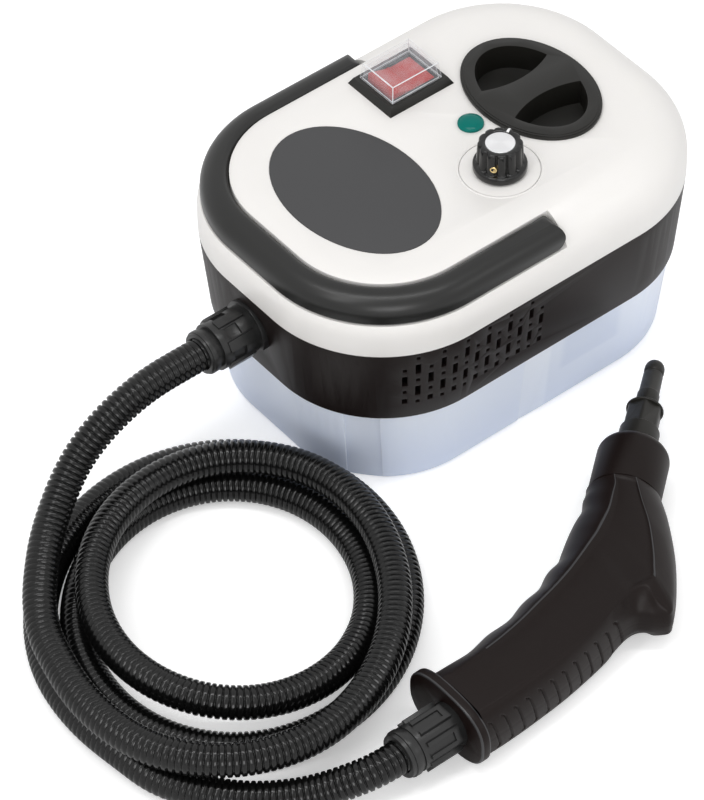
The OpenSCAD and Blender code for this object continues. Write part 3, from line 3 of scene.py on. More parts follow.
import bmesh
import bpy
from mathutils import Matrix, Vector


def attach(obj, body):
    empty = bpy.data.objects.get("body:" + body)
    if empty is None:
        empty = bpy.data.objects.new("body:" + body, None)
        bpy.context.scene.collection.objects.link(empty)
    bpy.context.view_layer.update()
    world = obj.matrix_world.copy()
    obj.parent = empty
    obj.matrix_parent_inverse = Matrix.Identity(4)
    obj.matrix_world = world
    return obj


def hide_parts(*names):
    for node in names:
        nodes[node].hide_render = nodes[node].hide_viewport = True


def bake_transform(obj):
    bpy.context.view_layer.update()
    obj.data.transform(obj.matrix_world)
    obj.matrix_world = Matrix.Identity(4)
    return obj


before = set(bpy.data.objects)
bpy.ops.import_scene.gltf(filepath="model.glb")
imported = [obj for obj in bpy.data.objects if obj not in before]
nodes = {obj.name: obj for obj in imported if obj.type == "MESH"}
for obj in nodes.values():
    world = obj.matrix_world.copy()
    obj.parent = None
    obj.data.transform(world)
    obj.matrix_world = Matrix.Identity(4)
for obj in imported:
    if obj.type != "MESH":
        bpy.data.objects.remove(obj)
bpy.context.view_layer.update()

MM = 0.001
UP = Vector((0, 0, 1))


# Nodes of a material or world
def new_material(name):
    mat = bpy.data.materials.new(name)
    mat.use_nodes = True
    tree = mat.node_tree
    tree.nodes.clear()
    out = tree.nodes.new("ShaderNodeOutputMaterial")
    return mat, tree, out


def node(tree, kind, **values):
    """A new node, with values for its sockets or its settings."""
    n = tree.nodes.new(kind)
    for key, value in values.items():
        if key in n.inputs:
            n.inputs[key].default_value = value
        else:
            setattr(n, key, value)
    return n


def join(tree, operation, a, b, **values):
    """Two values in a sum, a product or a maximum. Each is a node's output or a float."""
    n = node(tree, "ShaderNodeMath", operation=operation, **values)
    for value, socket in zip((a, b), n.inputs):
        if isinstance(value, float):
            socket.default_value = value
        else:
            tree.links.new(value, socket)
    return n.outputs[0]


# Camera, light and floor
CAMERA_PLACE = Vector((-1004.4, -1218.0, 1583.1))
CAMERA_RIGHT = Vector((0.7795, -0.6262, -0.0152))
CAMERA_BACK = Vector((-0.4269, -0.5489, 0.7186))
CAMERA_LENS, SENSOR_WIDTH = 236.17, 36.0
WHITE, PAPER = (1, 1, 1, 1), (0.93, 0.93, 0.93, 1)
SOFT_LIGHT, FLOOR_GLOW = 0.72, 0.35
FLOOR_REACH, FLOOR_DROP = 6.0, 0.0002
STRIP_TURN = -38.7

bpy.context.scene.view_settings.view_transform = "Standard"


def make_camera():
    data = bpy.data.cameras.new("camera")
    data.sensor_fit = "HORIZONTAL"
    data.sensor_width = SENSOR_WIDTH
    data.lens = CAMERA_LENS
    data.clip_start = 0.05
    data.clip_end = 20.0
    cam = bpy.data.objects.new("camera", data)
    bpy.context.scene.collection.objects.link(cam)
    right = CAMERA_RIGHT.normalized()
    back = (CAMERA_BACK - right * CAMERA_BACK.dot(right)).normalized()
    turn = Matrix((right, back.cross(right), back)).transposed().to_4x4()
    cam.matrix_world = Matrix.Translation(CAMERA_PLACE * MM) @ turn
    bpy.context.scene.camera = cam


def make_world():
    """Plain soft light, and full white where the camera, glass or gloss sees the world."""
    world = bpy.data.worlds.new("studio")
    bpy.context.scene.world = world
    world.use_nodes = True
    tree = world.node_tree
    tree.nodes.clear()
    path = tree.nodes.new("ShaderNodeLightPath")
    seen = path.outputs["Is Camera Ray"]
    for ray in ("Is Transmission Ray", "Is Glossy Ray"):
        seen = join(tree, "MAXIMUM", seen, path.outputs[ray])
    soft = node(tree, "ShaderNodeBackground", Color=WHITE, Strength=SOFT_LIGHT)
    white = node(tree, "ShaderNodeBackground", Color=WHITE, Strength=1.0)
    mix = tree.nodes.new("ShaderNodeMixShader")
    for source, socket in zip((seen, soft.outputs[0], white.outputs[0]), mix.inputs):
        tree.links.new(source, socket)
    out = tree.nodes.new("ShaderNodeOutputWorld")
    tree.links.new(mix.outputs[0], out.inputs[0])


def area_light(name, place, target, size, power, size_y=None):
    """A lamp that faces its target, square unless it has a second size."""
    data = bpy.data.lights.new(name, "AREA")
    data.energy = power
    data.size = size
    if size_y:
        data.shape = "RECTANGLE"
        data.size_y = size_y
    lamp = bpy.data.objects.new(name, data)
    bpy.context.scene.collection.objects.link(lamp)
    place = Vector(place)
    lamp.location = place
    lamp.rotation_euler = (Vector(target) - place).to_track_quat("-Z", "Y").to_euler()
    return lamp


def make_floor():
    """White paper, which glows a little for the camera alone."""
    mesh = bpy.data.meshes.new("floor")
    r = FLOOR_REACH
    mesh.from_pydata([(-r, -r, 0), (r, -r, 0), (r, r, 0), (-r, r, 0)], [], [(0, 1, 2, 3)])
    floor = bpy.data.objects.new("floor", mesh)
    bpy.context.scene.collection.objects.link(floor)
    floor.location.z = -FLOOR_DROP
    mat, tree, out = new_material("floor_paper")
    paper = node(tree, "ShaderNodeBsdfDiffuse", Color=PAPER)
    glow = node(tree, "ShaderNodeEmission", Color=WHITE)
    path = tree.nodes.new("ShaderNodeLightPath")
    seen = join(tree, "MULTIPLY", path.outputs["Is Camera Ray"], FLOOR_GLOW)
    tree.links.new(seen, glow.inputs["Strength"])
    add = tree.nodes.new("ShaderNodeAddShader")
    tree.links.new(paper.outputs[0], add.inputs[0])
    tree.links.new(glow.outputs[0], add.inputs[1])
    tree.links.new(add.outputs[0], out.inputs[0])
    mesh.materials.append(mat)


make_camera()
make_world()
strip = area_light("strip", (-0.2, -0.1, 1.7), (-0.2, -0.1, 0.0), 1.6, 7.2, 0.14)
strip.rotation_euler = (0, 0, math.radians(STRIP_TURN))
area_light("glint", (-0.95, -0.2, 1.25), (-0.2, -0.1, 0.02), 0.16, 3.0, 0.9)
area_light("front", (-1.25, -1.9, 0.9), (-0.08, -0.07, 0.05), 1.0, 11.5, 0.8)
area_light("right", (0.85, -1.55, 1.1), (-0.02, -0.08, 0.05), 0.55, 1.3)
make_floor()


# Mesh helpers
def add_object(name, verts, faces, body=None):
    """A smooth mesh of points in metres, which rides on the body where one is given."""
    mesh = bpy.data.meshes.new(name)
    mesh.from_pydata([tuple(v) for v in verts], [], faces)
    mesh.update()
    for face in mesh.polygons:
        face.use_smooth = True
    obj = bpy.data.objects.new(name, mesh)
    bpy.context.scene.collection.objects.link(obj)
    if body:
        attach(obj, body)
    return obj


def skin_faces(rings, sides):
    """The faces between each ring of points and the next."""
    faces = []
    for i in range(rings - 1):
        for k in range(sides):
            a = i * sides + k
            b = i * sides + (k + 1) % sides
            faces.append((a, b, b + sides, a + sides))
    return faces


def capped_faces(rings, sides):
    """The same faces, and one over each end."""
    last = (rings - 1) * sides
    ends = [tuple(range(sides - 1, -1, -1)), tuple(range(last, last + sides))]
    return skin_faces(rings, sides) + ends


def circle(centre, radius, side, up, sides):
    """Points round a centre, in the plane of two directions."""
    angles = [2 * math.pi * k / sides for k in range(sides)]
    return [centre + radius * (math.cos(a) * side + math.sin(a) * up) for a in angles]


def level_way(degrees):
    a = math.radians(degrees)
    return Vector((math.cos(a), math.sin(a), 0))


def across(way):
    return Vector((-way.y, way.x, 0))


def turned(name, body, centre, way, rings, sides):
    """A turned piece on a level axis, from the reach along it and the radius of each ring."""
    verts = []
    for reach, radius in rings:
        verts += [p * MM for p in circle(centre + reach * way, radius, across(way), UP, sides)]
    return add_object(name, verts, capped_faces(len(rings), sides), body)


def clamp(t, low=0.0, high=1.0):
    return min(max(t, low), high)


def ease(t):
    """A soft step from zero to one."""
    t = clamp(t)
    return t * t * (3 - 2 * t)


def around(values, i):
    """The two values that a stretch lies between, with one before and one after them."""
    return values[max(i - 1, 0)], values[i], values[i + 1], values[min(i + 2, len(values) - 1)]


def curve_point(a, b, c, d, t):
    """A share t of the way from b to c, on a smooth curve through all four."""
    m = (c - a) / 2
    n = (d - b) / 2
    return (
        (2 * t**3 - 3 * t * t + 1) * b
        + (t**3 - 2 * t * t + t) * m
        + (3 * t * t - 2 * t**3) * c
        + (t**3 - t * t) * n
    )


def curve(points, steps):
    """A smooth line through the points, with this many steps from each to the next."""
    out = []
    for i in range(len(points) - 1):
        out += [curve_point(*around(points, i), k / steps) for k in range(steps)]
    out.append(points[-1])
    return out


def spline(values, t):
    """The value on the same curve at the place t, which counts the values from nought."""
    i = min(int(t), len(values) - 2)
    return curve_point(*around(values, i), t - i)


def resample(points, step):
    """A line in even steps of about this length, and its whole length."""
    lengths = [0.0]
    for a, b in zip(points, points[1:]):
        lengths.append(lengths[-1] + (b - a).length)
    whole = lengths[-1]
    count = max(2, round(whole / step))
    out = []
    j = 0
    for i in range(count + 1):
        s = whole * i / count
        while j < len(lengths) - 2 and lengths[j + 1] < s:
            j += 1
        t = (s - lengths[j]) / max(lengths[j + 1] - lengths[j], 1e-9)
        out.append(points[j].lerp(points[j + 1], clamp(t)))
    return out, whole


def smoothed(points, reach):
    """Each point moved to the middle of its neighbours, with both ends kept."""
    out = []
    for i in range(len(points)):
        k = min(reach, i, len(points) - 1 - i)
        near = points[i - k : i + k + 1]
        out.append(sum(near, Vector((0, 0, 0))) / len(near))
    return out


# Hose, in millimetres
HOSE_D = 15.8
HOSE_SIDES = 20
# share of a rib's pitch, radius
RIB_SHAPE = [(0.0, 6.8), (0.13, 6.9), (0.23, 7.75), (0.34, 7.9), (0.76, 7.9), (0.88, 7.7)]
RIB_PITCH, RIB_STEPS = 3.0, 40
RING_X, FLANGE_X, OUTLET_Y, OUTLET_Z = -143.2, -116.2, 3.0, 73.0
GUN_Z = 17.3
COIL_X, COIL_Y = -192, -82
COIL_LOW = HOSE_D / 2 + 0.1
COIL_HIGH = COIL_LOW + HOSE_D + 0.9
COIL_START = 165
COIL_TURNS, COIL_STEPS = 3.08, 740
# the coil's least radius, the turns that have it, and how much it grows in a turn on each side of them
COIL_RADIUS, NARROW_FROM, NARROW_TO = 61.5, 1.05, 1.36
TOP_GROWTH, FLOOR_GROWTH = 20, 16.6
RADIUS_BLEND = 0.12
# the coil is longer this way, by this share
LONG_X, LONG_Y, STRETCH = 0.626, 0.78, 0.13
# how far the top turn lies off the others
LEAN_X, LEAN_Y = 9.5, 12.5
COIL_GAP = 16
CURVE_STEPS = 12
SMOOTH_REACH = 9
# beyond this x the hose is pressed together, which keeps it inside the box
SIDE_X, SIDE_PRESS = -280, 0.82
# from the outlet: x and y, and the share of the outlet's height above the coil
LEAD_WAY = [
    (-1, 0, 1), (-9, 0, 1), (-17, 0, 1), (-28, 0, 0.99), (-39, 0, 0.94), (-50, 0, 0.855),
    (-61, -0.5, 0.74), (-72, -2, 0.605), (-83, -6, 0.46), (-94, -12, 0.325), (-105, -20, 0.215),
    (-115, -30, 0.13), (-123.1, -39.3, 0.07), (-129.7, -49.8, 0.025),
]
# x and y, and the share of the gun's height above the coil
TAIL_WAY = [
    (-280, -139, 0), (-275, -150, 0), (-268.5, -161, 0), (-260.5, -171, 0), (-251, -179.5, 0),
    (-240.5, -187, 0.06), (-229.5, -193.5, 0.22), (-219, -199, 0.55), (-211, -203, 0.83),
    (-205, -205, 1), (-196, -205, 1), (-188, -205, 1), (-180, -205, 1),
]
TAIL_END = Vector((-171.3, -205, GUN_Z))


def spiral_radius(turn):
    top = TOP_GROWTH * max(NARROW_FROM - turn, 0)
    floor = FLOOR_GROWTH * max(turn - NARROW_TO, 0)
    return COIL_RADIUS + top + floor


def coil_point(turn):
    """The coil starts on top, falls to the floor after its first turn and widens there."""
    near = [clamp(turn + RADIUS_BLEND * k / 4, 0, COIL_TURNS) for k in range(-4, 5)]
    radius = sum(spiral_radius(t) for t in near) / len(near)
    angle = math.radians(COIL_START + 360 * turn)
    x, y = radius * math.cos(angle), radius * math.sin(angle)
    long_way = x * LONG_X + y * LONG_Y
    x += STRETCH * long_way * LONG_X
    y += STRETCH * long_way * LONG_Y
    lean = 1 - ease((turn - 0.25) / 0.35)
    fall = ease((turn - NARROW_FROM) / 0.5)
    height = COIL_HIGH + (COIL_LOW - COIL_HIGH) * fall
    return Vector((COIL_X + x - LEAN_X * lean, COIL_Y + y - LEAN_Y * lean, height))


def hose_route():
    """The middle line of the hose: the lead from the unit, the coil and the tail to the gun."""
    coil = [coil_point(COIL_TURNS * i / COIL_STEPS) for i in range(COIL_STEPS + 1)]
    start = (coil_point(0.001) - coil_point(0)).normalized()
    end = (coil_point(COIL_TURNS) - coil_point(COIL_TURNS - 0.001)).normalized()
    first = coil_point(0) - COIL_GAP * start
    last = coil_point(COIL_TURNS) + COIL_GAP * end
    lead = [Vector((FLANGE_X - 6, OUTLET_Y, OUTLET_Z))]
    for x, y, share in LEAD_WAY:
        lead.append(Vector((RING_X + x, OUTLET_Y + y, COIL_HIGH + share * (OUTLET_Z - COIL_HIGH))))
    lead += [first - 6 * start, first - 3 * start, first]
    tail = [last]
    tail += [Vector((x, y, COIL_LOW + share * (GUN_Z - COIL_LOW))) for x, y, share in TAIL_WAY]
    tail.append(TAIL_END)
    lead_line = curve(lead + [coil[0]], CURVE_STEPS)[: CURVE_STEPS * (len(lead) - 1) + 1]
    return lead_line + coil + curve(tail, CURVE_STEPS)


def sweep(points, radii, sides):
    """Rings round a line, with a radius for each point of it."""
    last = len(points) - 1
    verts = []
    for i, (point, radius) in enumerate(zip(points, radii)):
        way = (points[min(i + 1, last)] - points[max(i - 1, 0)]).normalized()
        side = way.cross(UP).normalized()
        verts += circle(point, radius, side, side.cross(way), sides)
    return verts


def make_hose():
    route = []
    for p in hose_route():
        x = max(p.x, SIDE_X) + SIDE_PRESS * min(p.x - SIDE_X, 0)
        route.append(Vector((x, p.y, p.z)))
    line, whole = resample(smoothed(resample(route, 1.0)[0], SMOOTH_REACH), 1.0)
    ribs = round(whole / RIB_PITCH)
    fine = resample(line, whole / (ribs * RIB_STEPS))[0]
    points, radii = [], []
    for rib in range(ribs):
        for share, radius in RIB_SHAPE:
            points.append(fine[min(len(fine) - 1, round((rib + share) * RIB_STEPS))])
            radii.append(radius)
    points.append(fine[-1])
    radii.append(RIB_SHAPE[0][1])
    verts = [v * MM for v in sweep(points, radii, HOSE_SIDES)]
    hose = add_object("hose", verts, capped_faces(len(points), HOSE_SIDES))
    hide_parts("hose_lead", "hose_coil", "hose_tail")
    return hose


hose = make_hose()


# CAD solids with softened edges
JOIN_DISTANCE = 0.00002
FLAT, SHARP, CREASE = math.radians(0.6), math.radians(32), math.radians(42)
# node, body, width of the rounding in millimetres
SOFT = [
    ("top_cover", "unit", 0.5), ("middle_housing", "unit", 0.35), ("carry_handle", "handle", 0.5),
    ("filler_cap", "cap", 0.7), ("switch_housing", "unit", 0.5), ("switch_rocker", "rocker", 0.45),
    ("switch_boot", "unit", 0.3), ("water_tank", "unit", 0.4), ("rating_plate", "unit", 0.12),
    ("hose_flange", "unit", 0.6), ("hose_nut", "unit", 0.35), ("hose_ring", "unit", 0.5),
    ("gun_connector", "gun", 0.35), ("gun_ring", "gun", 0.5), ("gun_end_cap", "gun", 0.9),
    ("gun_collar", "gun", 0.35), ("gun_fitting", "gun", 0.45),
]


def soften(name, body, width):
    """A copy of a solid with its flat faces joined and its sharp edges rounded.

    The faces of the rounding get the second material."""
    source = nodes[name]
    bm = bmesh.new()
    bm.from_mesh(source.data)
    bmesh.ops.transform(bm, matrix=source.matrix_world, verts=bm.verts)
    bmesh.ops.remove_doubles(bm, verts=bm.verts, dist=JOIN_DISTANCE)
    bmesh.ops.dissolve_limit(bm, angle_limit=FLAT, verts=bm.verts, edges=bm.edges)
    sharp = [e for e in bm.edges if len(e.link_faces) == 2 and e.calc_face_angle(0.0) > SHARP]
    bmesh.ops.bevel(
        bm, geom=sharp, offset=width * MM, segments=2, profile=0.6, affect="EDGES",
        clamp_overlap=True, miter_outer="ARC", material=1,
    )
    for f in bm.faces:
        f.smooth = True
    for e in bm.edges:
        e.smooth = len(e.link_faces) != 2 or e.calc_face_angle(0.0) < CREASE
    mesh = bpy.data.meshes.new(name + "_soft")
    bm.to_mesh(mesh)
    bm.free()
    obj = bpy.data.objects.new(name + "_soft", mesh)
    bpy.context.scene.collection.objects.link(obj)
    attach(obj, body)
    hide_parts(name)
    return obj


softened = {name: soften(name, body, width) for name, body, width in SOFT}


# Controls on the top, in millimetres and degrees
COVER_TOP = 125.0
KNOB = Vector((7.5, -32.0, 125.8))
KNOB_LOBES = 12
POINTER, SCREW = 24.0, 213.0
LAMP = Vector((16.6, 0.0, COVER_TOP))
# radius, height, and the depth of the knob's valleys where they cut a ring
KNOB_RINGS = [
    (12.2, 0.05), (12.6, 0.15), (12.75, 0.5), (12.75, 3.1), (12.6, 3.6), (12.2, 3.9), (11.6, 4.0),
    (11.25, 4.1, 1.5), (11.1, 4.5, 1.6), (10.95, 8.0, 1.6), (10.75, 12.0, 1.6), (10.6, 14.6, 1.5),
    (10.4, 15.3, 1.35), (10.0, 15.8, 1.1), (9.5, 16.02, 0.7), (9.0, 16.1, 0.3),
    (8.2, 16.02), (7.5, 15.8), (7.2, 15.5), (7.15, 15.1),
]
DISC_RINGS = [
    (6.9, 14.6), (7.05, 14.7), (7.05, 15.55), (6.95, 15.65), (6.7, 15.7), (3.0, 15.72), (0.5, 15.72),
]
LENS_RINGS = [
    (5.3, -0.6), (6.1, -0.6), (6.25, 0.0), (6.25, 0.9), (6.15, 1.15), (5.9, 1.3), (5.6, 1.35),
    (5.2, 1.6), (4.4, 2.05), (3.3, 2.38), (2.0, 2.56), (0.7, 2.6),
]
LIP_RINGS = [(19.0, -0.3), (19.15, 0.12), (19.4, 0.28), (19.7, 0.28), (19.95, 0.12), (20.1, -0.3)]
LIP_SIDES = 120
# reach from the knob's axis, radius
SCREW_RINGS = [(8.0, 1.7), (10.75, 1.75), (10.95, 1.55), (10.98, 1.05), (10.6, 0.95), (10.55, 0.1)]
SCREW_Z = 7.6
# reach from the knob's axis, height
POINTER_LINE = [
    (7.5, 15.95), (8.3, 16.17), (9.1, 16.25), (9.7, 16.14), (10.2, 15.88), (10.5, 15.4), (10.7, 14.8),
]
# its cross-section: sideways and upward
POINTER_SECTION = [(-0.62, -0.3), (-0.5, 0.25), (0.5, 0.25), (0.62, -0.3)]
POINTER_TOP = 16.3


def knob_cut(angle):
    """Broad rounded lobes with narrow valleys between them."""
    turn = math.radians(KNOB_LOBES / 2 * (angle - POINTER))
    return (1 - abs(math.cos(turn))) ** 1.6


def lathe(name, body, centre, rings, sides):
    """A turned piece on an upright axis."""
    verts = []
    for radius, height, *cut in rings:
        for k in range(sides):
            a = 2 * math.pi * k / sides
            r = radius - (knob_cut(math.degrees(a)) * cut[0] if cut else 0)
            verts.append((r * math.cos(a) * MM, r * math.sin(a) * MM, height * MM))
    obj = add_object(name, verts, capped_faces(len(rings), sides))
    obj.location = centre * MM
    bpy.context.view_layer.update()
    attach(obj, body)
    return obj


def make_pointer():
    """The short white line on the crown of the knob."""
    out = level_way(POINTER)
    side = across(out)
    verts = []
    for reach, height in POINTER_LINE:
        for shift, lift in POINTER_SECTION:
            rise = Vector((0, 0, min(height + lift * 0.2, POINTER_TOP)))
            verts.append((KNOB + out * (reach + lift * 0.4) + side * shift + rise) * MM)
    faces = capped_faces(len(POINTER_LINE), len(POINTER_SECTION))
    return add_object("knob_pointer", verts, faces, "knob")


def make_knob_lip():
    """The low ring that is moulded into the cover round the knob."""
    verts = []
    for radius, height in LIP_RINGS:
        for k in range(LIP_SIDES):
            a = 2 * math.pi * k / LIP_SIDES
            x, y = KNOB.x + radius * math.cos(a), KNOB.y + radius * math.sin(a)
            verts.append(Vector((x, y, COVER_TOP + height)) * MM)
    faces = skin_faces(len(LIP_RINGS), LIP_SIDES)
    last = (len(LIP_RINGS) - 1) * LIP_SIDES
    for k in range(LIP_SIDES):
        after = (k + 1) % LIP_SIDES
        faces.append((last + k, last + after, after, k))
    return add_object("knob_lip", verts, faces, "unit")


knob_body = lathe("knob_body", "knob", KNOB, KNOB_RINGS, 240)
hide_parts("control_knob")
knob_face = lathe("knob_face", "knob", KNOB, DISC_RINGS, 96)
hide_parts("knob_disc")
knob_pointer = make_pointer()
set_screw = turned("knob_set_screw", "knob", KNOB + SCREW_Z * UP, level_way(SCREW), SCREW_RINGS, 24)
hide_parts("knob_screw")
lamp_dome = lathe("lamp_dome", "unit", LAMP, LENS_RINGS, 72)
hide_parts("lamp_lens")
knob_lip = make_knob_lip()


# Gun, in millimetres
# Its outline is drawn at sections from the hose to the head. Each has four places in the middle plane
# (finger side, crease next to it, crease next to the palm, palm side), the height of the creases and the
# thickness as shares, and the palm's form: 1 is hollow, 0 round and -1 a ridge.
SECTIONS = [
    ((-160, -180.6), (-160, -192.7), (-160, -217.6), (-160, -223.4), 0.9, 1, 0),
    ((-148, -181), (-148, -192.4), (-148, -217.9), (-148, -223.3), 0.9, 1, 0),
    ((-137, -181.4), (-137, -191.6), (-136, -217.6), (-136, -222.8), 0.9, 1, 0),
    ((-124, -178.4), (-124, -190.2), (-124, -216.9), (-124, -222), 0.9, 0.99, 0),
    ((-111, -178), (-111, -188), (-112, -216.2), (-112, -220.8), 0.9, 0.98, 0),
    ((-99, -173.8), (-98, -185), (-101, -214.9), (-101, -219), 0.9, 0.98, 0),
    ((-88, -172.2), (-86, -182.2), (-90, -213.2), (-90, -216.8), 0.9, 0.98, 0),
    ((-78, -166.8), (-75, -179), (-80, -211.4), (-80, -214.8), 0.9, 0.98, 0.2),
    ((-70, -165), (-66, -175.7), (-71, -208.6), (-71, -212.6), 0.9, 0.98, 0.7),
    ((-63, -160.4), (-58, -172.5), (-63, -206.8), (-63, -213), 0.9, 0.98, 1),
    ((-57, -156.4), (-50.5, -169.4), (-56.5, -207.2), (-57.5, -218.6), 0.9, 0.98, 0.7),
    ((-51.5, -153), (-46, -167), (-49.5, -208.5), (-51.5, -223), 0.9, 0.98, -1),
    ((-46, -150), (-41.5, -164.6), (-43.5, -202.5), (-44.5, -218.2), 0.9, 0.97, -0.6),
    ((-39.5, -147), (-35.5, -161.2), (-36, -193), (-34, -207.2), 0.9, 0.97, -0.3),
    ((-34.8, -142.5), (-29, -156.2), (-27.5, -180.5), (-23.5, -194.2), 0.91, 0.97, 0),
    ((-31.3, -140.3), (-23.7, -152), (-21, -168), (-12.2, -177), 0.93, 0.97, 0),
    ((-28.73, -137.83), (-20.65, -147.82), (-14.02, -156.0), (-6.27, -165.57), 0.96, 0.97, 0),
]
PLACES = [[Vector(section[k]).to_3d() for section in SECTIONS] for k in range(4)]
SHARES = [[float(section[k]) for section in SECTIONS] for k in (4, 5, 6)]
LAST_SECTION = len(SECTIONS) - 1
FINGER_STEPS, FINGER_ARC = 9, math.radians(54)
PANEL_SHARES = (0.015, 0.035, 0.065, 0.16, 0.33, 0.5, 0.67, 0.84, 0.935, 0.965, 0.985)
PANEL_EDGE, PANEL_DIP = 0.04, 0.05
# from the palm side to the crease
PALM_HOLLOW = curve([Vector(p) for p in ((0, 0), (0.05, 0.3), (0.2, 0.45), (0.55, 0.66), (1, 1))], 6)
PALM_RIDGE = curve([Vector(p) for p in ((0, 0), (0.04, 0.3), (0.1, 0.5), (0.5, 0.75), (1, 1))], 6)
PALM_STEPS = len(PALM_HOLLOW) - 1
SEAM_DEPTH = 0.1
# faces of a raised lip in each ring, which get a lighter look as a painted highlight, and the place
# along the sections where it starts
LIPS = [((9, 10), 2.2), ((19, 20), 11.2)]
GRIP_END, FINE_END = 8.5, 7.6
FINE_STEPS, HEAD_STEPS = 190, 96
GROOVES = [-156.1 + 7.36 * i for i in range(12)]
GROOVE_DEPTH, GROOVE_WIDTH, GROOVE_REACH = 1.15, 0.75, 10.4
GROOVE_SLANT, SLANT_TOP = 0.27, 9.7
HOOK_START, HOOK_LENGTH, HOOK_REACH = 8.2, 2.0, 2.2
HEAD_POINT, HEAD_WAY = Vector((-17.5, -151.7, GUN_Z)), level_way(39)
# reach from the head's point, radius
TIP = [
    (59.7, 4.9), (59.9, 5.25), (60.2, 5.35), (67.9, 5.35), (68.4, 5.2), (68.8, 4.9), (80.8, 4.75),
    (81.3, 4.6), (81.6, 4.35), (82.1, 4.35), (82.5, 4.65), (83.2, 4.82), (85.0, 4.84), (86.4, 4.7),
    (87.5, 4.35), (88.4, 3.8), (89.1, 3.0), (89.5, 2.2), (89.58, 1.75), (89.4, 1.52), (84.0, 1.5),
]
FITTING_LIP = [(57.5, 8.0), (57.55, 8.7), (57.8, 8.95), (58.4, 8.95), (58.7, 8.75), (58.8, 8.0)]
HEAD_SIDES = 64


def groove_depth(x, z):
    """Narrow slanted cuts along the palm side, each with a hook at both ends."""
    off = abs(z - GUN_Z)
    if off > GROOVE_REACH:
        return 0.0
    slant = GROOVE_SLANT * (SLANT_TOP - (z - GUN_Z))
    hook = -HOOK_REACH * clamp((off - HOOK_START) / HOOK_LENGTH) ** 2
    gap = min(abs(x - groove - slant - hook) for groove in GROOVES)
    return GROOVE_DEPTH * ease(1 - gap / GROOVE_WIDTH) * ease((GROOVE_REACH - off) / 0.8)


def half_outline(t):
    """Places in the middle plane, each with its height as a share, from the finger to the palm."""
    finger, finger_crease, palm_crease, palm = (spline(places, t) for places in PLACES)
    crease, form = spline(SHARES[0], t), spline(SHARES[2], t)
    crease = min(crease + 0.04, 0.97)
    line = []
    for i in range(FINGER_STEPS + 1):
        turn = FINGER_ARC * i / FINGER_STEPS
        share = (1 - math.cos(turn)) / (1 - math.cos(FINGER_ARC))
        height = crease * math.sin(turn) / math.sin(FINGER_ARC)
        line.append((finger.lerp(finger_crease, share), height))
    for share in PANEL_SHARES:
        height = crease + (1 - crease) * (1 - (2 * share - 1) ** 2)
        if PANEL_EDGE < share < 1 - PANEL_EDGE:
            sunk = (1 - share) * ease((t - 1) / 3) + share * ease((t - 8.6) / 1.2)
            height -= PANEL_DIP * sunk * ease((LAST_SECTION - 0.12 - t) / 0.3)
        line.append((finger_crease.lerp(palm_crease, share), height))
    shape, weight = (PALM_HOLLOW, form) if form > 0 else (PALM_RIDGE, -form)
    arc = math.radians(80 - 26 * ease((t - 11) / 1.5))
    for i in range(PALM_STEPS, -1, -1):
        turn = arc * i / PALM_STEPS
        share = (1 - math.cos(turn)) / (1 - math.cos(arc))
        p = Vector((share, math.sin(turn) / math.sin(arc))).lerp(shape[i], clamp(weight))
        line.append((palm.lerp(palm_crease, p.x), crease * p.y))
    return finger, palm, line


def gun_loop(t):
    """The points round the gun's body at the place t along its sections."""
    finger, palm, line = half_outline(t)
    half = GUN_Z * min(spline(SHARES[1], t), 0.999)
    middle = (finger + palm) / 2
    out_way = (palm - finger).normalized()
    loop = []
    for side, part in ((1, line), (-1, line[::-1][1:-1])):
        for place, height in part:
            z = GUN_Z + side * height * half
            spot = Vector((place.x, place.y, z))
            if t < GRIP_END and (place - finger).length > 0.6 * (palm - finger).length:
                spot -= groove_depth(place.x, z) * out_way
            if height == 0:
                spot += (middle - spot).normalized() * SEAM_DEPTH
            loop.append(spot)
    return loop


def make_gun_body():
    stations = [FINE_END * i / FINE_STEPS for i in range(FINE_STEPS)]
    stations += [FINE_END + (LAST_SECTION - FINE_END) * i / HEAD_STEPS for i in range(HEAD_STEPS + 1)]
    loops = [gun_loop(t) for t in stations]
    sides = len(loops[0])
    verts = [p * MM for loop in loops for p in loop]
    body = add_object("gun_body", verts, skin_faces(len(loops), sides), "gun")
    for i, t in enumerate(stations[:-1]):
        for k in [k for faces, start in LIPS if t > start for k in faces]:
            body.data.polygons[i * sides + k].material_index = 1
            body.data.polygons[i * sides + sides - 1 - k].material_index = 1
    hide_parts("gun_half_lower", "gun_half_upper")
    return body


gun_body = make_gun_body()
tip = turned("tip_turned", "gun", HEAD_POINT, HEAD_WAY, TIP, HEAD_SIDES)
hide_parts("nozzle_tip")
fitting_lip = turned("fitting_lip", "gun", HEAD_POINT, HEAD_WAY, FITTING_LIP, HEAD_SIDES)
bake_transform(hose)


# Materials
def principled(name, sockets):
    """A material with its shader, and the place on the piece for its patterns."""
    mat, tree, out = new_material(name)
    shader = tree.nodes.new("ShaderNodeBsdfPrincipled")
    for key, value in sockets.items():
        shader.inputs[key].default_value = value
    tree.links.new(shader.outputs[0], out.inputs[0])
    where = tree.nodes.new("ShaderNodeTexCoord").outputs["Object"]
    return mat, tree, shader, where


def noise(tree, where, scale, detail):
    n = node(tree, "ShaderNodeTexNoise", Scale=scale, Detail=detail)
    tree.links.new(where, n.inputs["Vector"])
    return n.outputs["Fac"]


def mapped(tree, value, low, high, start=0.0, end=1.0, ends="LINEAR"):
    """A value that runs from start to end, made to run from low to high."""
    n = node(tree, "ShaderNodeMapRange", interpolation_type=ends)
    for key, number in (("From Min", start), ("From Max", end), ("To Min", low), ("To Max", high)):
        n.inputs[key].default_value = number
    tree.links.new(value, n.inputs["Value"])
    return n.outputs[0]


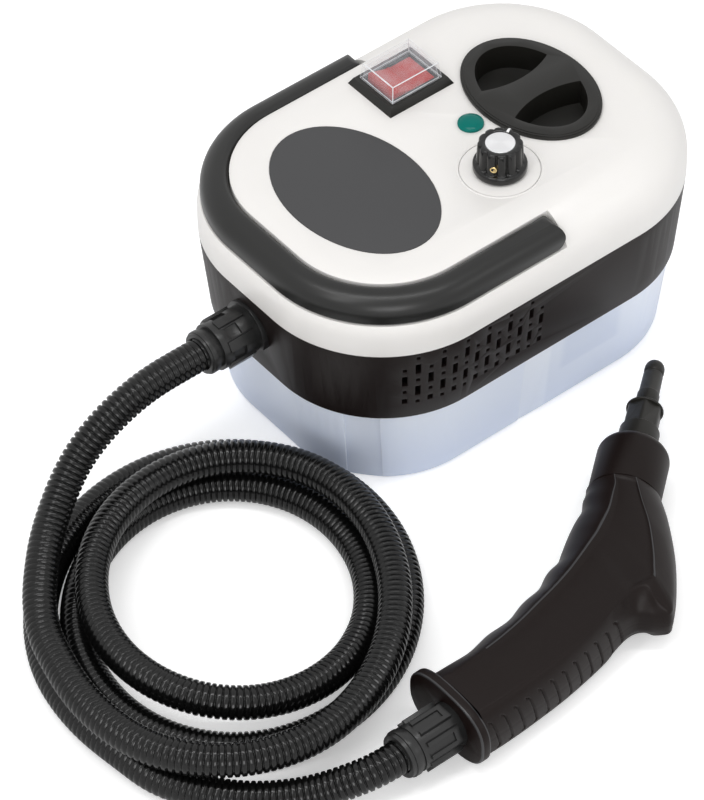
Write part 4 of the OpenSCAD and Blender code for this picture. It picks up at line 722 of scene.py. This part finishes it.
def tint(tree, shader, color, tone):
    """The base colour, paler and darker with a pattern."""
    n = node(tree, "ShaderNodeVectorMath", operation="SCALE")
    n.inputs[0].default_value = color
    tree.links.new(tone, n.inputs["Scale"])
    tree.links.new(n.outputs[0], shader.inputs["Base Color"])


def relief(tree, shader, height, strength, distance=0.0002):
    n = node(tree, "ShaderNodeBump", Strength=strength, Distance=distance)
    tree.links.new(height, n.inputs["Height"])
    tree.links.new(n.outputs[0], shader.inputs["Normal"])


def plastic(name, color, rough, bump, grain, vary, spec=0.5, sub=0.0):
    """Moulded plastic: fine grain, and a slight change of tone and gloss over the surface."""
    sockets = {"Base Color": (*color, 1), "Roughness": rough, "Specular IOR Level": spec}
    if sub:
        sockets["Subsurface Weight"] = sub
        sockets["Subsurface Radius"] = (0.01, 0.01, 0.012)
        sockets["Subsurface Scale"] = 0.6
    mat, tree, shader, where = principled(name, sockets)
    cloud = noise(tree, where, 38.0, 3.0)
    tint(tree, shader, color, mapped(tree, cloud, 1 - vary, 1 + vary))
    gloss = mapped(tree, cloud, max(0.02, rough - 0.05), rough + 0.06)
    tree.links.new(gloss, shader.inputs["Roughness"])
    relief(tree, shader, noise(tree, where, grain, 2.0), bump)
    return mat


def metal(name, color, rough, scratch=0.15):
    """Bare metal: fine marks in its gloss and its relief."""
    mat, tree, shader, where = principled(name, {"Base Color": (*color, 1), "Metallic": 1.0})
    marks = noise(tree, where, 260.0, 4.0)
    gloss = mapped(tree, marks, max(0.03, rough - scratch / 2), rough + scratch / 2)
    tree.links.new(gloss, shader.inputs["Roughness"])
    relief(tree, shader, marks, 0.2, 0.0001)
    return mat


def brushed(name, color, rough):
    """Aluminium turned in a lathe: fine rings and a gloss drawn out across them."""
    sockets = {"Base Color": (*color, 1), "Metallic": 1.0, "Roughness": rough, "Anisotropic": 0.85}
    mat, tree, shader, where = principled(name, sockets)
    rings = node(
        tree, "ShaderNodeTexWave", Scale=420.0, Distortion=0.6, Detail=2.0, wave_type="RINGS",
        rings_direction="Z",
    )
    tree.links.new(where, rings.inputs["Vector"])
    tint(tree, shader, color, mapped(tree, rings.outputs["Fac"], 0.88, 1.08))
    round_way = node(tree, "ShaderNodeTangent", direction_type="RADIAL", axis="Z")
    tree.links.new(round_way.outputs[0], shader.inputs["Tangent"])
    return mat


def clear(name, color, rough, body, spots):
    """Clear film: dust on it varies how much of it shows."""
    sockets = {"Base Color": (*color, 1), "Roughness": rough, "IOR": 1.45}
    mat, tree, shader, where = principled(name, sockets)
    veil = mapped(tree, noise(tree, where, 180.0, 3.0), body - spots, body + spots, 0.35, 0.7)
    tree.links.new(veil, shader.inputs["Alpha"])
    return mat


def product(tree, *factors):
    total = factors[0]
    for factor in factors[1:]:
        total = join(tree, "MULTIPLY", total, factor)
    return total


def span(tree, value, low, high, soft):
    """One between two values and nothing outside them, with soft ends."""
    rising = mapped(tree, value, 0, 1, low - soft, low + soft, "SMOOTHSTEP")
    falling = mapped(tree, value, 1, 0, high - soft, high + soft, "SMOOTHSTEP")
    return product(tree, rising, falling)


def milky(name, low_color, high_color, low, high):
    """Translucent tank wall: its colour changes with height, with a painted lighter band at the recess,
    a painted darker patch for the shade of the parts behind it, and a faint painted glow in its own
    colour.
    """
    # the emission is a faint painted glow, which stands in for light coming through the wall
    sockets = {
        "Roughness": 0.28, "Subsurface Weight": 0.25, "Subsurface Radius": (0.01, 0.011, 0.014),
        "Subsurface Scale": 0.6, "Emission Strength": 0.09,
    }
    mat, tree, shader, where = principled(name, sockets)
    parts = tree.nodes.new("ShaderNodeSeparateXYZ")
    tree.links.new(where, parts.inputs[0])
    x, y, z = parts.outputs
    rise = mapped(tree, z, 0, 1, low, high)
    shift = mapped(tree, noise(tree, where, 14.0, 2.0), -0.25, 0.25)
    front = span(tree, y, -0.2, -0.045, 0.004)
    # painted light: a lighter band where the recess is
    painted_recess_light = span(tree, x, -0.013, 0.003, 0.0012)
    # painted shade: a darker patch for the parts behind the wall
    painted_behind_shade = span(tree, x, 0.011, 0.046, 0.003)
    upper = span(tree, z, 0.024, 0.2, 0.002)
    share = join(tree, "ADD", rise, shift)
    share = join(tree, "ADD", share, product(tree, front, painted_recess_light, 0.35))
    share = join(tree, "ADD", share, product(tree, front, painted_behind_shade, upper, -0.45), use_clamp=True)
    # a colour mix has its colours at sockets 6 and 7 and gives the result at 2
    mix = node(tree, "ShaderNodeMix", data_type="RGBA")
    tree.links.new(share, mix.inputs[0])
    mix.inputs[6].default_value = (*low_color, 1)
    mix.inputs[7].default_value = (*high_color, 1)
    for key in ("Base Color", "Emission Color"):
        tree.links.new(mix.outputs[2], shader.inputs[key])
    relief(tree, shader, noise(tree, where, 500.0, 2.0), 0.05)
    return mat


BLACK = {
    # look: colour, roughness, relief, grain, change of tone, specular level
    "housing": ((0.0085, 0.0055, 0.005), 0.42, 0.12, 2200, 0.12, 0.26),
    "handle": ((0.006, 0.006, 0.0055), 0.33, 0.05, 1600, 0.1, 0.45),
    "cap": ((0.0095, 0.009, 0.0075), 0.34, 0.05, 1600, 0.1, 0.36),
    "gun": ((0.0068, 0.0034, 0.0028), 0.38, 0.2, 1500, 0.12, 0.17),
    "fitting": ((0.015, 0.015, 0.015), 0.3, 0.1, 1500, 0.12, 0.42),
    "tip": ((0.012, 0.011, 0.009), 0.4, 0.1, 1500, 0.1, 0.3),
    "hose": ((0.004, 0.004, 0.004), 0.16, 0.02, 900, 0.12, 0.34),
    "knob": ((0.008, 0.008, 0.008), 0.16, 0.03, 1200, 0.08, 0.4),
    "rubber": ((0.02, 0.02, 0.02), 0.7, 0.3, 1800, 0.12, 0.5),
}
MATS = {look: plastic(look + "_black", *values) for look, values in BLACK.items()}
MATS |= {
    "cover": plastic("cover_white", (0.8, 0.782, 0.762), 0.32, 0.04, 1400, 0.012, sub=0.06),
    "plate": plastic("plate_grey", (0.04, 0.04, 0.042), 0.55, 0.08, 2600, 0.04),
    "natural": plastic("natural_plastic", (0.5, 0.5, 0.48), 0.5, 0.1, 1200, 0.05),
    "silicone": plastic("silicone", (0.7, 0.7, 0.68), 0.4, 0.05, 700, 0.05),
    "phenolic": plastic("phenolic", (0.1, 0.05, 0.03), 0.35, 0.1, 1200, 0.1),
    "board": plastic("board_green", (0.01, 0.09, 0.03), 0.35, 0.2, 700, 0.15),
    "rocker": plastic("rocker_red", (0.44, 0.018, 0.012), 0.3, 0.04, 1200, 0.08, spec=0.3),
    "lens": plastic("lens_green", (0.0005, 0.155, 0.13), 0.12, 0.02, 900, 0.14, spec=0.12),
    "pointer": plastic("pointer_white", (0.8, 0.8, 0.8), 0.4, 0.1, 1500, 0.04),
    # painted highlight: a paler milky look for the tank's rounded edges
    "tank_edge": plastic("tank_edge", (0.8, 0.84, 0.92), 0.25, 0.05, 700, 0.05, sub=0.2),
    # painted highlight: a lighter black for the switch housing's rounded edges
    "black_edge_highlight": plastic("black_edge_highlight", (0.035, 0.035, 0.035), 0.3, 0.05, 1500, 0.1),
    # painted highlight: a lighter black for the lips along the gun's creases and the end cap's rim
    "gun_lip_highlight": plastic("gun_lip_highlight", (0.03, 0.03, 0.032), 0.34, 0.1, 1500, 0.12, spec=0.4),
    "steel": metal("steel", (0.62, 0.62, 0.63), 0.28),
    "cast": metal("cast_aluminium", (0.6, 0.6, 0.61), 0.45, scratch=0.3),
    "brass": metal("brass", (0.75, 0.58, 0.28), 0.25),
    "disc": brushed("disc_aluminium", (0.82, 0.82, 0.83), 0.3),
    "boot": clear("boot_clear", (0.8, 0.82, 0.86), 0.08, 0.12, 0.04),
    # painted highlight: a whiter, less clear film for the boot's rounded edges
    "boot_edge_highlight": clear("boot_edge_highlight", (0.85, 0.87, 0.9), 0.2, 0.75, 0.1),
    "tank": milky("tank_milky", (0.56, 0.62, 0.76), (0.72, 0.77, 0.87), 0.01, 0.06),
}

LOOKS = {
    "water_tank": "tank", "tank_screws": "steel", "rubber_feet": "rubber", "middle_housing": "housing",
    "cable_gland": "rubber", "top_cover": "cover", "cover_screws": "steel", "filler_neck": "natural",
    "filler_cap": "cap", "cap_gasket": "rubber", "carry_handle": "handle", "handle_pins": "steel",
    "rating_plate": "plate", "switch_housing": "cap", "switch_rocker": "rocker", "switch_boot": "boot",
    "lamp_lens": "lens", "lamp_body": "cap", "power_control": "phenolic", "knob_shaft": "steel",
    "control_knob": "knob", "knob_disc": "disc", "knob_screw": "brass", "boiler": "cast",
    "heating_element": "steel", "thermostat": "phenolic", "thermal_cutout": "phenolic",
    "pump": "phenolic", "pump_bracket": "steel", "control_board": "board", "suction_tube": "silicone",
    "suction_filter": "natural", "delivery_tube": "silicone", "steam_tube": "steel",
    "hose_flange": "fitting", "hose_nut": "fitting", "hose_ring": "fitting", "gun_connector": "fitting",
    "gun_ring": "fitting", "gun_half_lower": "gun", "gun_half_upper": "gun", "gun_end_cap": "gun",
    "gun_pipe": "steel", "gun_collar": "gun", "gun_fitting": "tip", "nozzle_tip": "tip",
}

# lighter looks for the rounded edges of these pieces, which are painted highlights
EDGES = {
    "switch_boot": "boot_edge_highlight", "water_tank": "tank_edge", "switch_housing": "black_edge_highlight",
    "gun_end_cap": "gun_lip_highlight",
}


def dress(obj, look, edge=None):
    """Gives a piece its look, and the faces of its rounded edges a look of their own, which for some
    pieces is a lighter painted highlight.
    """
    marks = [face.material_index for face in obj.data.polygons]
    obj.data.materials.clear()
    obj.data.materials.append(MATS[look])
    if edge:
        obj.data.materials.append(MATS[edge])
    for face, mark in zip(obj.data.polygons, marks):
        face.material_index = 1 if edge and mark else 0


for name, look in LOOKS.items():
    for slot in nodes[name].material_slots:
        slot.material = MATS[look]
for name, obj in softened.items():
    dress(obj, LOOKS[name], EDGES.get(name))
dress(gun_body, "gun", "gun_lip_highlight")
for obj, look in (
    (hose, "hose"), (knob_body, "knob"), (knob_face, "disc"), (knob_pointer, "pointer"),
    (set_screw, "brass"), (lamp_dome, "lens"), (knob_lip, "cover"), (tip, "tip"), (fitting_lip, "tip"),
):
    dress(obj, look)
